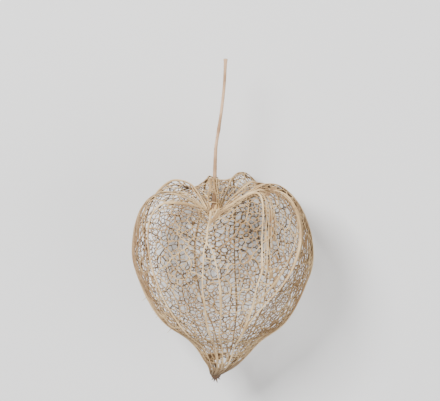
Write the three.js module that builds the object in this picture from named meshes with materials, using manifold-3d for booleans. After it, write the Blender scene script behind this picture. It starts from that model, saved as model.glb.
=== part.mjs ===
// The lantern of a physalis, weathered to its skeleton: ribs, the net of veins between them and the stalk.
// Millimetres and degrees. The lantern lies on its side on the plane z = 0, with its stalk along +Y.
// It is shaped about its own axis first: y runs along the axis from the tip to the stalk with y = 0 at the
// seat of the stalk, azimuth 0 faces up and azimuth 90 faces +X.

import * as THREE from "three";
import { ConvexHull } from "three/addons/math/ConvexHull.js";
import { mergeVertices } from "three/addons/utils/BufferGeometryUtils.js";
import Module from "manifold-3d";

const wasm = await Module();
wasm.setup();

// Size of the net
const NET_SEED = 4711;
const CELL_SIZE = 3.35;
const DART_COUNT = 9000;
const DART_SPACING = 0.86;
const SMOOTHING_ROUNDS = 7;
const SMOOTHING_STEP = 0.45;
const SHORTEST_VEIN = 0.9;
// Where the first and the last row of cells lie, in cells from the seat and from the tip
const FIRST_ROW = 0.62;
const LAST_ROW = 0.72;
const ROW_JITTER = 0.3;
// Widths of a panel, in cells, that take no row of cells beside a rib and one row
const NO_ROW_WIDTH = 0.55;
const ONE_ROW_WIDTH = 1.6;
const ROW_CLEARANCE = 0.8;
// The sharpest turn between two veins of a cell that its opening follows, as the cosine between their sides
const SHARPEST_TURN = -0.35;
const NORMAL_STEP = 0.012;
const NORTH_SHARE = 0.45;

// The meridian of the lantern, from the rim of the seat over the shoulder and the widest level to the tip:
// distance from the axis and place along it.
const MERIDIAN = [
  [2.2, 0.0],
  [6.6, 3.6],
  [11.9, 6.4],
  [17.0, 6.0],
  [21.0, 0.6],
  [22.8, -10.4],
  [20.9, -18.0],
  [15.9, -27.1],
  [9.2, -32.5],
  [4.5, -38.4],
  [1.3, -41.8],
];

// How far the axis stands aside in x, as [share of the meridian, offset]
const AXIS_OFFSET = [
  [0.0, -1.5],
  [0.17, 0.1],
  [0.46, 0.1],
  [0.72, 0.55],
  [0.86, 0.85],
  [0.95, 0.1],
  [1.0, -1.6],
];

// Levels where the azimuth of each rib is given, as shares of the meridian
const RIB_LEVELS = [0.0, 0.17, 0.365, 0.46, 0.52, 0.6, 0.66, 0.74, 0.86, 1.0];

// Ribs in order round the axis: azimuth at each level, how much the crest of the shoulder stands above the
// meridian and outside it there, and how far the panel after the rib puffs out at the shoulder.
// The second and third rib are one stem down to their fork. The fifth runs into the fourth.
const RIBS = [
  {
    azimuth: [-58.5, -57.2, -55.9, -50.4, -46, -44.3, -41, -38, -40.5, -41],
    rise: -2.3,
    reach: 1.8,
    puff: 0.6,
  },
  {
    azimuth: [-24, -14, -10.6, -12.8, -12.8, -12.4, -13.2, -13.4, -16, -18],
    rise: -6.4,
    reach: 0.4,
    puff: 0.0,
  },
  {
    azimuth: [-24, -14, -8, -3.2, -1.6, -1.5, -2.6, -5, -5.3, -2],
    rise: -6.4,
    reach: 0.4,
    puff: 0.6,
  },
  {
    azimuth: [36.2, 32.6, 25.6, 25, 21.6, 20.6, 18.4, 15.6, 13.3, 15.3],
    rise: 1.2,
    reach: 2.0,
    puff: 0.8,
  },
  {
    azimuth: [68, 70, 61.9, 51, 42, 29, 21.3, 15.6, 13.3, 15.3],
    rise: -0.5,
    reach: -0.8,
    puff: 0.6,
  },
  {
    azimuth: [90, 86, 83, 85.2, 86.4, 87, 83.4, 76.6, 67.8, 58],
    rise: 0.9,
    reach: -2.2,
    puff: -0.6,
  },
  {
    azimuth: [120.4, 120.9, 120.7, 119.5, 118.1, 116.3, 113.7, 109.6, 103.9, 96.9],
    rise: -1.6,
    reach: -0.7,
    puff: 0.1,
  },
  {
    azimuth: [148, 151, 150.5, 148.3, 147, 145.7, 143.6, 139.8, 134.7, 128.6],
    rise: -1.6,
    reach: 0.8,
    puff: 2.0,
  },
  {
    azimuth: [164, 169.6, 171.3, 172.2, 172.1, 171.3, 169.9, 167.5, 164.1, 160.3],
    rise: -0.6,
    reach: -0.9,
    puff: -0.8,
  },
  {
    azimuth: [195, 192.1, 194.1, 197.1, 199.1, 200.1, 200.3, 199.5, 197.6, 194.6],
    rise: -0.2,
    reach: -0.4,
    puff: -2.8,
  },
  {
    azimuth: [237.2, 240.8, 242, 240.2, 238.1, 238, 239, 240.5, 241.7, 242.3],
    rise: 0.4,
    reach: -1.8,
    puff: -0.4,
  },
  {
    azimuth: [266.5, 267.2, 265.9, 263.9, 264, 268.6, 273.7, 276, 279.4, 285.3],
    rise: -1.5,
    reach: -0.6,
    puff: 1.1,
  },
];

// Between two ribs the wall lies this share of the way from the flat chord to the round arc.
const WALL_ROUNDNESS = 0.55;
const SHOULDER_END = 0.42;
const SHOULDER_TOP = 0.18;

// Veins: half width, height above the wall and depth below it
const RIB_VEIN = { half: 0.78, height: 0.75, depth: 0.4 };
const NET_VEIN = { half: 0.37, height: 0.36, depth: 0.36 };
const RIB_TAPER_START = 0.6;
const RIB_TAPER_END = 0.62;

// The lantern lies flattened on its underside this far below its axis.
const FLOOR_DEPTH = 21.0;
const FLOOR_CLEARANCE = 0.12;
const FLOOR_SOFTNESS = 0.5;
const FLOOR_BLEND_END = 20;
const FLOOR_BLOCK_SIDE = 200;

// Withered teeth at the tip: azimuth, lean away from the axis and length
const TEETH = [
  [20, 38, 2.1],
  [110, 46, 1.7],
  [205, 30, 2.3],
  [300, 48, 1.6],
];
const TOOTH_RADIUS = 0.5;
const TOOTH_ROOT = 0.7;
const TOOTH_SIDES = 5;

// Stalk: route of its middle line, sides, and thickness as [place along y, radius]
const STALK_ROUTE = [
  [-1.8, 0.9, 0.0],
  [-1.85, 4.6, 0.05],
  [-1.8, 9.2, 0.1],
  [-1.6, 15.9, 0.15],
  [-0.8, 21.6, 0.1],
  [0.0, 27.1, -0.1],
  [0.6, 33.0, -0.3],
  [0.9, 39.0, -0.5],
];
const STALK_SIDES = 9;
const STALK_STEPS = 26;
const STALK_RADII = [
  [0.9, 0.92],
  [2.6, 0.68],
  [6.0, 0.54],
  [12.0, 0.48],
  [19.5, 0.4],
  [21.3, 0.48],
  [23.0, 0.4],
  [33.0, 0.38],
  [37.4, 0.42],
  [39.0, 0.54],
];
const STALK_GAP = 0.05;
const SEAT_DOME = 0.35;

const HUSK_FINISH = { color: 0xb9a078, roughness: 0.85, metalness: 0.0 };
const STALK_FINISH = { color: 0xc2a37c, roughness: 0.8, metalness: 0.0 };

const AXIS = new THREE.Vector3(0, 1, 0);

// A repeatable source of random numbers between 0 and 1.
function makeRandom(seed) {
  let state = seed;
  return () => {
    state = (state + 0x6d2b79f5) | 0;
    let mixed = Math.imul(state ^ (state >>> 15), 1 | state);
    mixed = (mixed + Math.imul(mixed ^ (mixed >>> 7), 61 | mixed)) ^ mixed;
    return ((mixed ^ (mixed >>> 14)) >>> 0) / 4294967296;
  };
}

// The value at x of a line through the given [x, value] pairs.
function interpolate(pairs, x) {
  const next = pairs.findIndex(([place]) => place > x);
  if (next === 0) return pairs[0][1];
  if (next < 0) return pairs[pairs.length - 1][1];
  const [x0, v0] = pairs[next - 1];
  const [x1, v1] = pairs[next];
  return v0 + ((v1 - v0) * (x - x0)) / (x1 - x0);
}

// The value at x of a smooth curve through the given [x, value] pairs, without overshoot.
function interpolateSmoothly(pairs, x) {
  const last = pairs.length - 1;
  const clamped = THREE.MathUtils.clamp(x, pairs[0][0], pairs[last][0]);
  const index = Math.min(Math.max(pairs.findIndex(([place]) => place > clamped) - 1, 0), last - 1);
  const i = clamped >= pairs[last][0] ? last - 1 : index;
  const slope = (a, b) => (pairs[b][1] - pairs[a][1]) / (pairs[b][0] - pairs[a][0]);
  const tangent = (k) => {
    if (k === 0) return slope(0, 1);
    if (k === last) return slope(last - 1, last);
    const before = slope(k - 1, k);
    const after = slope(k, k + 1);
    return before * after <= 0 ? 0 : (2 * before * after) / (before + after);
  };
  const span = pairs[i + 1][0] - pairs[i][0];
  const f = (clamped - pairs[i][0]) / span;
  const f2 = f * f;
  const f3 = f2 * f;
  return (
    (2 * f3 - 3 * f2 + 1) * pairs[i][1] +
    (f3 - 2 * f2 + f) * span * tangent(i) +
    (3 * f2 - 2 * f3) * pairs[i + 1][1] +
    (f3 - f2) * span * tangent(i + 1)
  );
}

// The wall of the lantern: a point and a normal for every azimuth and share of the meridian.
class LanternWall {
  constructor() {
    this.meridian = new THREE.SplineCurve(MERIDIAN.map(([radius, y]) => new THREE.Vector2(radius, y)));
    this.meridian.arcLengthDivisions = 400;
    this.length = this.meridian.getLength();
    this.ribCount = RIBS.length;
    this.makeLatitudes();
  }

  // Latitudes that keep small shapes true when the wall is mapped to a unit sphere.
  makeLatitudes() {
    const steps = 400;
    this.latitudes = [];
    let sum = 0;
    for (let i = 0; i <= steps; i++) {
      const share = i / steps;
      if (i > 0) sum += this.length / steps / this.meridian.getPointAt(share - 0.5 / steps).x;
      this.latitudes.push([share, sum]);
    }
    const middle = interpolate(this.latitudes, NORTH_SHARE);
    const latitudeOf = (value) => 2 * Math.atan(Math.exp(value - middle));
    this.latitudes = this.latitudes.map(([share, value]) => [share, latitudeOf(value)]);
    this.shares = this.latitudes.map(([share, angle]) => [angle, share]);
  }

  shoulderShare(share) {
    if (share >= SHOULDER_END) return 0;
    if (share < SHOULDER_TOP) return Math.sin((Math.PI / 2) * (share / SHOULDER_TOP)) ** 2;
    return Math.cos(((Math.PI / 2) * (share - SHOULDER_TOP)) / (SHOULDER_END - SHOULDER_TOP)) ** 2;
  }

  ribAzimuth(rib, share) {
    const index = THREE.MathUtils.euclideanModulo(rib, this.ribCount);
    const turns = Math.floor(rib / this.ribCount);
    const pairs = RIB_LEVELS.map((level, i) => [level, RIBS[index].azimuth[i]]);
    return interpolateSmoothly(pairs, share) + 360 * turns;
  }

  ribRadiusAndHeight(rib, share) {
    const { rise, reach } = RIBS[THREE.MathUtils.euclideanModulo(rib, this.ribCount)];
    const shoulder = this.shoulderShare(share);
    const base = this.meridian.getPointAt(THREE.MathUtils.clamp(share, 0, 1));
    return [base.x + reach * shoulder, base.y + rise * shoulder];
  }

  pointAt(azimuth, radius, y, share) {
    const angle = THREE.MathUtils.degToRad(azimuth);
    const offset = interpolateSmoothly(AXIS_OFFSET, share);
    return new THREE.Vector3(offset + radius * Math.sin(angle), y, radius * Math.cos(angle));
  }

  // The rib whose panel holds the azimuth, with the azimuth brought into its turn.
  sectorOf(azimuth, share) {
    const first = this.ribAzimuth(0, share);
    const turned = first + THREE.MathUtils.euclideanModulo(azimuth - first, 360);
    let sector = 0;
    while (sector < this.ribCount - 1 && this.ribAzimuth(sector + 1, share) <= turned) sector++;
    return [sector, turned];
  }

  point(azimuth, share) {
    const [sector, turned] = this.sectorOf(azimuth, share);
    const left = this.ribAzimuth(sector, share);
    const right = this.ribAzimuth(sector + 1, share);
    const part = right - left < 1e-6 ? 0 : (turned - left) / (right - left);
    const [leftRadius, leftY] = this.ribRadiusAndHeight(sector, share);
    const [rightRadius, rightY] = this.ribRadiusAndHeight(sector + 1, share);
    const chord = this.pointAt(left, leftRadius, leftY, share);
    chord.lerp(this.pointAt(right, rightRadius, rightY, share), part);
    const radius = THREE.MathUtils.lerp(leftRadius, rightRadius, part);
    const arc = this.pointAt(turned, radius, THREE.MathUtils.lerp(leftY, rightY, part), share);
    const wall = chord.lerp(arc, WALL_ROUNDNESS);
    const slope = this.meridian.getTangentAt(THREE.MathUtils.clamp(share, 0, 1));
    const puff = RIBS[sector].puff * this.shoulderShare(share) * 4 * part * (1 - part);
    const angle = THREE.MathUtils.degToRad(turned);
    wall.x -= slope.y * puff * Math.sin(angle);
    wall.z -= slope.y * puff * Math.cos(angle);
    wall.y += slope.x * puff;
    wall.z = this.liftOffFloor(wall.z);
    return wall;
  }

  // Flattens the underside where the lantern lies on it.
  liftOffFloor(z) {
    const lowest = FLOOR_CLEARANCE - FLOOR_DEPTH;
    const above = (z - lowest) / FLOOR_SOFTNESS;
    return above > FLOOR_BLEND_END ? z : lowest + FLOOR_SOFTNESS * Math.log1p(Math.exp(above));
  }

  normal(azimuth, share) {
    const step = NORMAL_STEP;
    const clamped = THREE.MathUtils.clamp(share, step, 1 - step);
    const turn = THREE.MathUtils.radToDeg((step * this.length) / this.meridian.getPointAt(clamped).x);
    const across = this.point(azimuth + turn, clamped).sub(this.point(azimuth - turn, clamped));
    const along = this.point(azimuth, clamped + step).sub(this.point(azimuth, clamped - step));
    return across.cross(along).normalize().negate();
  }

  sectorWidth(sector, share) {
    const turn = this.ribAzimuth(sector + 1, share) - this.ribAzimuth(sector, share);
    return THREE.MathUtils.degToRad(turn) * this.meridian.getPointAt(share).x;
  }

  toSphere(azimuth, share) {
    const colatitude = interpolate(this.latitudes, share);
    return new THREE.Vector3().setFromSphericalCoords(1, colatitude, THREE.MathUtils.degToRad(azimuth));
  }

  fromSphere(direction) {
    const spherical = new THREE.Spherical().setFromVector3(direction);
    return [THREE.MathUtils.radToDeg(spherical.theta), interpolate(this.shares, spherical.phi)];
  }
}

// The net on the wall: cells round seeded points, with the ribs as the borders between panels.
class VeinNet {
  constructor(wall) {
    this.wall = wall;
    this.random = makeRandom(NET_SEED);
    this.seeds = [];
    this.placeSeeds();
    this.findCells();
    this.markBorders();
    for (let round = 0; round < SMOOTHING_ROUNDS; round++) this.smooth();
    this.joinShortVeins();
  }

  addSeed(sector, azimuth, share) {
    this.seeds.push({
      sector,
      share,
      place: this.wall.point(azimuth, share),
      onSphere: this.wall.toSphere(azimuth, share),
    });
  }

  // One cell for the seat and one for the tip, then rows beside each rib, then darts between them.
  placeSeeds() {
    const { wall, random } = this;
    const none = new THREE.Vector3(0, 1e6, 0);
    this.seeds.push({ sector: "seat", share: 0, place: none, onSphere: new THREE.Vector3(0, 1, 0) });
    this.seeds.push({ sector: "tip", share: 1, place: none, onSphere: new THREE.Vector3(0, -1, 0) });
    const step = CELL_SIZE / wall.length;
    const firstRow = step * FIRST_ROW;
    const lastRow = 1 - step * LAST_ROW;
    const jitter = () => (random() - 0.5) * ROW_JITTER;
    for (let sector = 0; sector < wall.ribCount; sector++) {
      for (const side of [0, 1]) {
        const late = (side + sector) % 2 === 0 ? 0 : 0.5;
        for (let row = 0; firstRow + row * step < lastRow; row++) {
          const rowShare = firstRow + (row + late * Math.min(row, 1)) * step;
          const share = rowShare + (row > 0 ? jitter() * step : 0);
          if (share > lastRow) continue;
          const width = wall.sectorWidth(sector, share);
          if (width < NO_ROW_WIDTH * CELL_SIZE) continue;
          const single = width < ONE_ROW_WIDTH * CELL_SIZE;
          if (single && side === 1) continue;
          const inset = (0.5 + jitter() / 3) * CELL_SIZE;
          const part = single ? 0.5 + jitter() / 5 : inset / width;
          const across = side === 0 ? part : 1 - part;
          const left = wall.ribAzimuth(sector, share);
          const right = wall.ribAzimuth(sector + 1, share);
          this.addSeed(sector, left + (right - left) * across, share);
        }
      }
    }
    this.throwDarts(firstRow, lastRow);
  }

  throwDarts(firstRow, lastRow) {
    const { wall, random } = this;
    const clear = DART_SPACING * CELL_SIZE;
    const widest = Math.max(...MERIDIAN.map(([radius]) => radius));
    for (let i = 0; i < DART_COUNT; i++) {
      const share = firstRow + random() * (lastRow - firstRow);
      const turn = random() * 360;
      const radius = wall.meridian.getPointAt(share).x;
      if (random() * widest > radius) continue;
      const [sector, azimuth] = wall.sectorOf(turn, share);
      const left = wall.ribAzimuth(sector, share);
      const right = wall.ribAzimuth(sector + 1, share);
      const toRib = THREE.MathUtils.degToRad(Math.min(azimuth - left, right - azimuth)) * radius;
      if (toRib < ROW_CLEARANCE * CELL_SIZE) continue;
      const place = wall.point(azimuth, share);
      const alone = this.seeds.every((seed) => seed.place.distanceTo(place) > clear);
      if (alone) this.addSeed(sector, azimuth, share);
    }
  }

  // Cells are the rings of hull facets round each seed, because a facet's normal points at the corner
  // that its three seeds share.
  findCells() {
    const points = this.seeds.map((seed) => seed.onSphere);
    const hull = new ConvexHull().setFromPoints(points);
    const indexOf = new Map(points.map((point, index) => [point, index]));
    const facetOfEdge = new Map();
    this.corners = hull.faces.map((face, facet) => {
      const ring = [];
      let edge = face.edge;
      do {
        ring.push(indexOf.get(edge.head().point));
        edge = edge.next;
      } while (edge !== face.edge);
      ring.forEach((seed, i) => facetOfEdge.set(`${seed} ${ring[(i + 1) % ring.length]}`, facet));
      return { ring, direction: face.normal.clone().normalize() };
    });
    this.cells = this.seeds.map((seed, index) => {
      const first = this.corners.findIndex((corner) => corner.ring.includes(index));
      const cell = [];
      let facet = first;
      do {
        cell.push(facet);
        const { ring } = this.corners[facet];
        const before = ring[(ring.indexOf(index) + ring.length - 1) % ring.length];
        facet = facetOfEdge.get(`${index} ${before}`);
      } while (facet !== first);
      return cell;
    });
  }

  // A corner whose seeds lie in two panels belongs to the rib between them.
  markBorders() {
    this.corners.forEach((corner) => {
      const sectors = corner.ring.map((seed) => this.seeds[seed].sector);
      corner.panels = [...new Set(sectors.filter(Number.isInteger))].sort((a, b) => a - b);
      corner.atSeat = corner.ring.includes(0);
      corner.atTip = corner.ring.includes(1);
      this.settle(corner);
    });
  }

  // Keeps a corner of a rib on the rib, and a corner of the seat or the tip on its ring.
  settle(corner) {
    const { wall } = this;
    let [azimuth, share] = wall.fromSphere(corner.direction);
    if (corner.atSeat) share = 0;
    if (corner.atTip) share = 1;
    if (corner.panels.length > 1) {
      let [low, high] = [corner.panels[0], corner.panels[corner.panels.length - 1]];
      if (high - low > wall.ribCount / 2) [low, high] = [high, low + wall.ribCount];
      azimuth = (wall.ribAzimuth(low + 1, share) + wall.ribAzimuth(high, share)) / 2;
    }
    corner.azimuth = azimuth;
    corner.share = share;
    corner.direction = wall.toSphere(azimuth, share);
  }

  neighbours() {
    const lists = this.corners.map(() => new Set());
    this.cells.forEach((cell) =>
      cell.forEach((corner, i) => {
        const next = cell[(i + 1) % cell.length];
        lists[corner].add(next);
        lists[next].add(corner);
      }),
    );
    return lists;
  }

  smooth() {
    const lists = this.neighbours();
    const moved = this.corners.map((corner, index) => {
      const middle = new THREE.Vector3();
      lists[index].forEach((other) => middle.add(this.corners[other].direction));
      middle.divideScalar(lists[index].size);
      return corner.direction.clone().lerp(middle, SMOOTHING_STEP).normalize();
    });
    this.corners.forEach((corner, index) => {
      corner.direction = moved[index];
      this.settle(corner);
    });
  }

  // Corners closer than the shortest vein become one.
  joinShortVeins() {
    const leader = this.corners.map((_, index) => index);
    const find = (index) => (leader[index] === index ? index : find(leader[index]));
    this.corners.forEach((corner) => (corner.place = this.wall.point(corner.azimuth, corner.share)));
    this.cells.forEach((cell) =>
      cell.forEach((corner, i) => {
        const [a, b] = [find(corner), find(cell[(i + 1) % cell.length])];
        if (a === b || this.corners[a].place.distanceTo(this.corners[b].place) > SHORTEST_VEIN) return;
        const keepsFirst = this.corners[a].panels.length >= this.corners[b].panels.length;
        if (keepsFirst) leader[b] = a;
        else leader[a] = b;
      }),
    );
    this.cells = this.cells.map((cell) => {
      const merged = cell.map(find);
      return merged.filter((corner, i) => corner !== merged[(i + 1) % merged.length]);
    });
  }
}

// Turns the net into a solid: every vein is a bar of triangular section with its ridge outside.
class VeinSolid {
  constructor(net) {
    this.net = net;
    this.vertices = [];
    this.triangles = [];
    this.measureVeins();
    this.build();
  }

  panelOf(cell) {
    return this.net.seeds[cell].sector;
  }

  // Finds the cell on the other side of each border and the measures of the vein there.
  measureVeins() {
    const { cells, corners, wall } = this.net;
    const owner = new Map();
    cells.forEach((cell, index) =>
      cell.forEach((corner, i) => owner.set(`${corner} ${cell[(i + 1) % cell.length]}`, index)),
    );
    this.owner = owner;
    corners.forEach((corner) => (corner.bulk = 0));
    this.bulkOf = (from, to) => {
      const [a, b] = [owner.get(`${from} ${to}`), owner.get(`${to} ${from}`)];
      if (this.panelOf(a) === this.panelOf(b)) return 0;
      return 1 - (1 - RIB_TAPER_END) * THREE.MathUtils.smoothstep(corners[from].share, RIB_TAPER_START, 1);
    };
    for (const key of owner.keys()) {
      const [from, to] = key.split(" ").map(Number);
      const bulk = this.bulkOf(from, to);
      corners[from].bulk = Math.max(corners[from].bulk, bulk);
    }
    corners.forEach((corner) => (corner.normal = wall.normal(corner.azimuth, corner.share)));
  }

  measure(name, bulk) {
    return THREE.MathUtils.lerp(NET_VEIN[name], RIB_VEIN[name], bulk);
  }

  addVertex(point) {
    return this.vertices.push(point) - 1;
  }

  addQuad(a, b, c, d) {
    this.triangles.push([a, b, c], [a, c, d]);
  }

  // The point of a cell's own opening next to one of its corners, on the inner side of the wall.
  openingPoint(cell, i) {
    const { corners } = this.net;
    const at = cell[i];
    const before = cell[(i + cell.length - 1) % cell.length];
    const after = cell[(i + 1) % cell.length];
    const { place, normal, bulk } = corners[at];
    const aside = (from, to) => {
      const along = corners[to].place.clone().sub(corners[from].place).projectOnPlane(normal).normalize();
      return normal.clone().cross(along);
    };
    const first = aside(before, at);
    const second = aside(at, after);
    const firstHalf = this.measure("half", this.bulkOf(before, at));
    const secondHalf = this.measure("half", this.bulkOf(at, after));
    const spread = 1 + Math.max(first.dot(second), SHARPEST_TURN);
    const inset = first.multiplyScalar(firstHalf).add(second.multiplyScalar(secondHalf));
    inset.divideScalar(spread);
    return place.clone().add(inset).addScaledVector(normal, -this.measure("depth", bulk));
  }

  build() {
    const { cells, corners } = this.net;
    corners.forEach((corner) => {
      corner.ridge = this.addVertex(
        corner.place.clone().addScaledVector(corner.normal, this.measure("height", corner.bulk)),
      );
    });
    const inner = new Map();
    cells.forEach((cell, index) =>
      cell.forEach((corner, i) => {
        inner.set(`${index} ${corner}`, this.addVertex(this.openingPoint(cell, i)));
      }),
    );
    cells.forEach((cell, index) => {
      const filled = !Number.isInteger(this.panelOf(index));
      if (filled) this.fillCell(cell, index, inner);
      cell.forEach((from, i) => {
        const to = cell[(i + 1) % cell.length];
        const [innerFrom, innerTo] = [inner.get(`${index} ${from}`), inner.get(`${index} ${to}`)];
        if (!filled) this.addQuad(corners[from].ridge, corners[to].ridge, innerTo, innerFrom);
        const other = this.owner.get(`${to} ${from}`);
        if (index < other)
          this.addQuad(innerFrom, innerTo, inner.get(`${other} ${to}`), inner.get(`${other} ${from}`));
      });
    });
    this.closeCorners(inner);
  }

  // The seat and the tip are solid: their cell is closed above and below.
  fillCell(cell, index, inner) {
    const { corners } = this.net;
    const atSeat = this.panelOf(index) === "seat";
    const outside = new THREE.Vector3();
    const inside = new THREE.Vector3();
    cell.forEach((corner) => {
      outside.add(this.vertices[corners[corner].ridge]);
      inside.add(this.vertices[inner.get(`${index} ${corner}`)]);
    });
    outside.divideScalar(cell.length).addScaledVector(AXIS, atSeat ? SEAT_DOME : -SEAT_DOME);
    inside.divideScalar(cell.length);
    const outer = this.addVertex(outside);
    const under = this.addVertex(inside);
    cell.forEach((from, i) => {
      const to = cell[(i + 1) % cell.length];
      this.triangles.push([corners[from].ridge, corners[to].ridge, outer]);
      this.triangles.push([inner.get(`${index} ${to}`), inner.get(`${index} ${from}`), under]);
    });
    if (atSeat) this.seat = outside;
    else this.tip = outside;
  }

  // The inner side of each corner is closed between the openings round it.
  closeCorners(inner) {
    const { cells } = this.net;
    const following = new Map();
    cells.forEach((cell, index) =>
      cell.forEach((corner, i) => {
        const before = cell[(i + cell.length - 1) % cell.length];
        following.set(`${corner} ${index}`, this.owner.get(`${corner} ${before}`));
      }),
    );
    const done = new Set();
    for (const key of following.keys()) {
      const [corner, start] = key.split(" ").map(Number);
      if (done.has(corner)) continue;
      done.add(corner);
      const ring = [];
      let cell = start;
      do {
        ring.push(inner.get(`${cell} ${corner}`));
        cell = following.get(`${corner} ${cell}`);
      } while (cell !== start);
      for (let i = 1; i < ring.length - 1; i++) this.triangles.push([ring[0], ring[i + 1], ring[i]]);
    }
  }

  toManifold() {
    const vertProperties = new Float32Array(this.vertices.flatMap((vertex) => vertex.toArray()));
    const triVerts = new Uint32Array(this.triangles.flat());
    const mesh = new wasm.Mesh({ numProp: 3, vertProperties, triVerts });
    mesh.merge();
    return new wasm.Manifold(mesh);
  }
}

// A closed three.js geometry as a solid that can be joined and cut.
function solidFromGeometry(geometry) {
  const bare = geometry.clone();
  bare.deleteAttribute("normal");
  bare.deleteAttribute("uv");
  const merged = mergeVertices(bare, 1e-4);
  const triVerts = new Uint32Array(merged.index.array);
  return new wasm.Manifold(
    new wasm.Mesh({ numProp: 3, vertProperties: merged.attributes.position.array, triVerts }),
  );
}

// The geometry of a finished solid.
function geometryFromSolid(solid) {
  const { vertProperties, triVerts, numProp } = solid.getMesh();
  const geometry = new THREE.BufferGeometry();
  geometry.setAttribute("position", new THREE.InterleavedBufferAttribute(
    new THREE.InterleavedBuffer(vertProperties, numProp), 3, 0));
  geometry.setIndex(new THREE.BufferAttribute(triVerts, 1));
  const plain = geometry.toNonIndexed();
  plain.computeVertexNormals();
  return plain;
}

// One withered tooth, a slim spike that grows out of the tip.
function makeTooth(tip, [azimuth, lean, length]) {
  const geometry = new THREE.ConeGeometry(TOOTH_RADIUS, length + TOOTH_ROOT, TOOTH_SIDES);
  geometry.translate(0, (length - TOOTH_ROOT) / 2, 0);
  const angle = THREE.MathUtils.degToRad(azimuth);
  const tilt = THREE.MathUtils.degToRad(lean);
  const direction = new THREE.Vector3(
    Math.sin(tilt) * Math.sin(angle),
    -Math.cos(tilt),
    Math.sin(tilt) * Math.cos(angle),
  );
  geometry.applyQuaternion(new THREE.Quaternion().setFromUnitVectors(AXIS, direction));
  geometry.translate(tip.x, tip.y + SEAT_DOME, tip.z);
  return solidFromGeometry(geometry);
}

// Everything below the plane that the lantern lies on.
function makeFloorBlock() {
  const geometry = new THREE.BoxGeometry(FLOOR_BLOCK_SIDE, FLOOR_BLOCK_SIDE, FLOOR_BLOCK_SIDE);
  geometry.translate(0, 0, -FLOOR_DEPTH - FLOOR_BLOCK_SIDE / 2);
  return solidFromGeometry(geometry);
}

// The stalk, swollen at its foot, at its joint and where it was broken off.
function makeStalkGeometry(seat) {
  const points = STALK_ROUTE.map((point) => new THREE.Vector3(...point));
  points[0].set(seat.x, seat.y + STALK_GAP, seat.z);
  const route = new THREE.CatmullRomCurve3(points);
  const outline = new THREE.Shape();
  for (let i = 0; i < STALK_SIDES; i++) {
    const angle = (2 * Math.PI * i) / STALK_SIDES;
    if (i === 0) outline.moveTo(1, 0);
    else outline.lineTo(Math.cos(angle), Math.sin(angle));
  }
  const geometry = new THREE.ExtrudeGeometry(outline, { steps: STALK_STEPS, extrudePath: route });
  const samples = route.getSpacedPoints(STALK_STEPS);
  const position = geometry.getAttribute("position");
  const vertex = new THREE.Vector3();
  for (let i = 0; i < position.count; i++) {
    vertex.fromBufferAttribute(position, i);
    const middle = samples.reduce((best, sample) =>
      sample.distanceToSquared(vertex) < best.distanceToSquared(vertex) ? sample : best,
    );
    vertex.sub(middle).multiplyScalar(interpolate(STALK_RADII, middle.y)).add(middle);
    position.setXYZ(i, vertex.x, Math.max(vertex.y, seat.y + STALK_GAP), vertex.z);
  }
  return geometry;
}

function makeLantern() {
  const net = new VeinNet(new LanternWall());
  const veins = new VeinSolid(net);
  let husk = veins.toManifold();
  for (const tooth of TEETH) husk = husk.add(makeTooth(veins.tip, tooth));
  husk = husk.subtract(makeFloorBlock());

  const lantern = new THREE.Group();
  const huskMaterial = new THREE.MeshStandardMaterial(HUSK_FINISH);
  const huskMesh = new THREE.Mesh(geometryFromSolid(husk), huskMaterial);
  huskMesh.name = "lantern_net";
  const stalkMaterial = new THREE.MeshStandardMaterial(STALK_FINISH);
  const stalkMesh = new THREE.Mesh(makeStalkGeometry(veins.seat), stalkMaterial);
  stalkMesh.name = "stalk";
  lantern.add(huskMesh, stalkMesh);
  return lantern;
}

const lantern = makeLantern();
const box = new THREE.Box3().setFromObject(lantern);
lantern.position.copy(box.getCenter(new THREE.Vector3()).negate());
lantern.position.z = FLOOR_DEPTH;

export default lantern;
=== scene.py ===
import logging
import math
import random
from dataclasses import dataclass, field
from enum import Enum

import bmesh
import bpy
import numpy as np
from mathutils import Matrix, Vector


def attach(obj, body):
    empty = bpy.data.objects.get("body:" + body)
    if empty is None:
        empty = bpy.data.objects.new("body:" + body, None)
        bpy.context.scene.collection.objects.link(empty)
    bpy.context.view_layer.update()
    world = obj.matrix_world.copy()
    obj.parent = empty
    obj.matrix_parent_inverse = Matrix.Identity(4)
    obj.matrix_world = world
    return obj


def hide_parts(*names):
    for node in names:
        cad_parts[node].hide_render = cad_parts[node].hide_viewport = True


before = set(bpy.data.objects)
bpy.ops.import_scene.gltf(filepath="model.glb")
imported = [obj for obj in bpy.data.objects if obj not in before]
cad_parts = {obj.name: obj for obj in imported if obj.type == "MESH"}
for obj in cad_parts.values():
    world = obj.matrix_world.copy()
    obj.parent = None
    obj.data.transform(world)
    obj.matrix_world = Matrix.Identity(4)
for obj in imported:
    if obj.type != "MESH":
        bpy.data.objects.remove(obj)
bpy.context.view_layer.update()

log = logging.getLogger("lantern")
logging.basicConfig(level=logging.INFO, format="%(message)s")

MM = 0.001
# The thickness of the scraps of husk, in millimetres
FILM = 0.07
# The fine cords: their sides, and how strong a vein's colour the broader and the finest of them have
STRAND_SIDES = 6
BROAD_TONE, FINE_TONE = 0.8, 0.25
# Where the seat of the stalk lies in the frame, in millimetres; the axis of the lantern runs along y
SEAT_PLACE = (-0.1318, 2.5793, 21.0)


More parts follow.
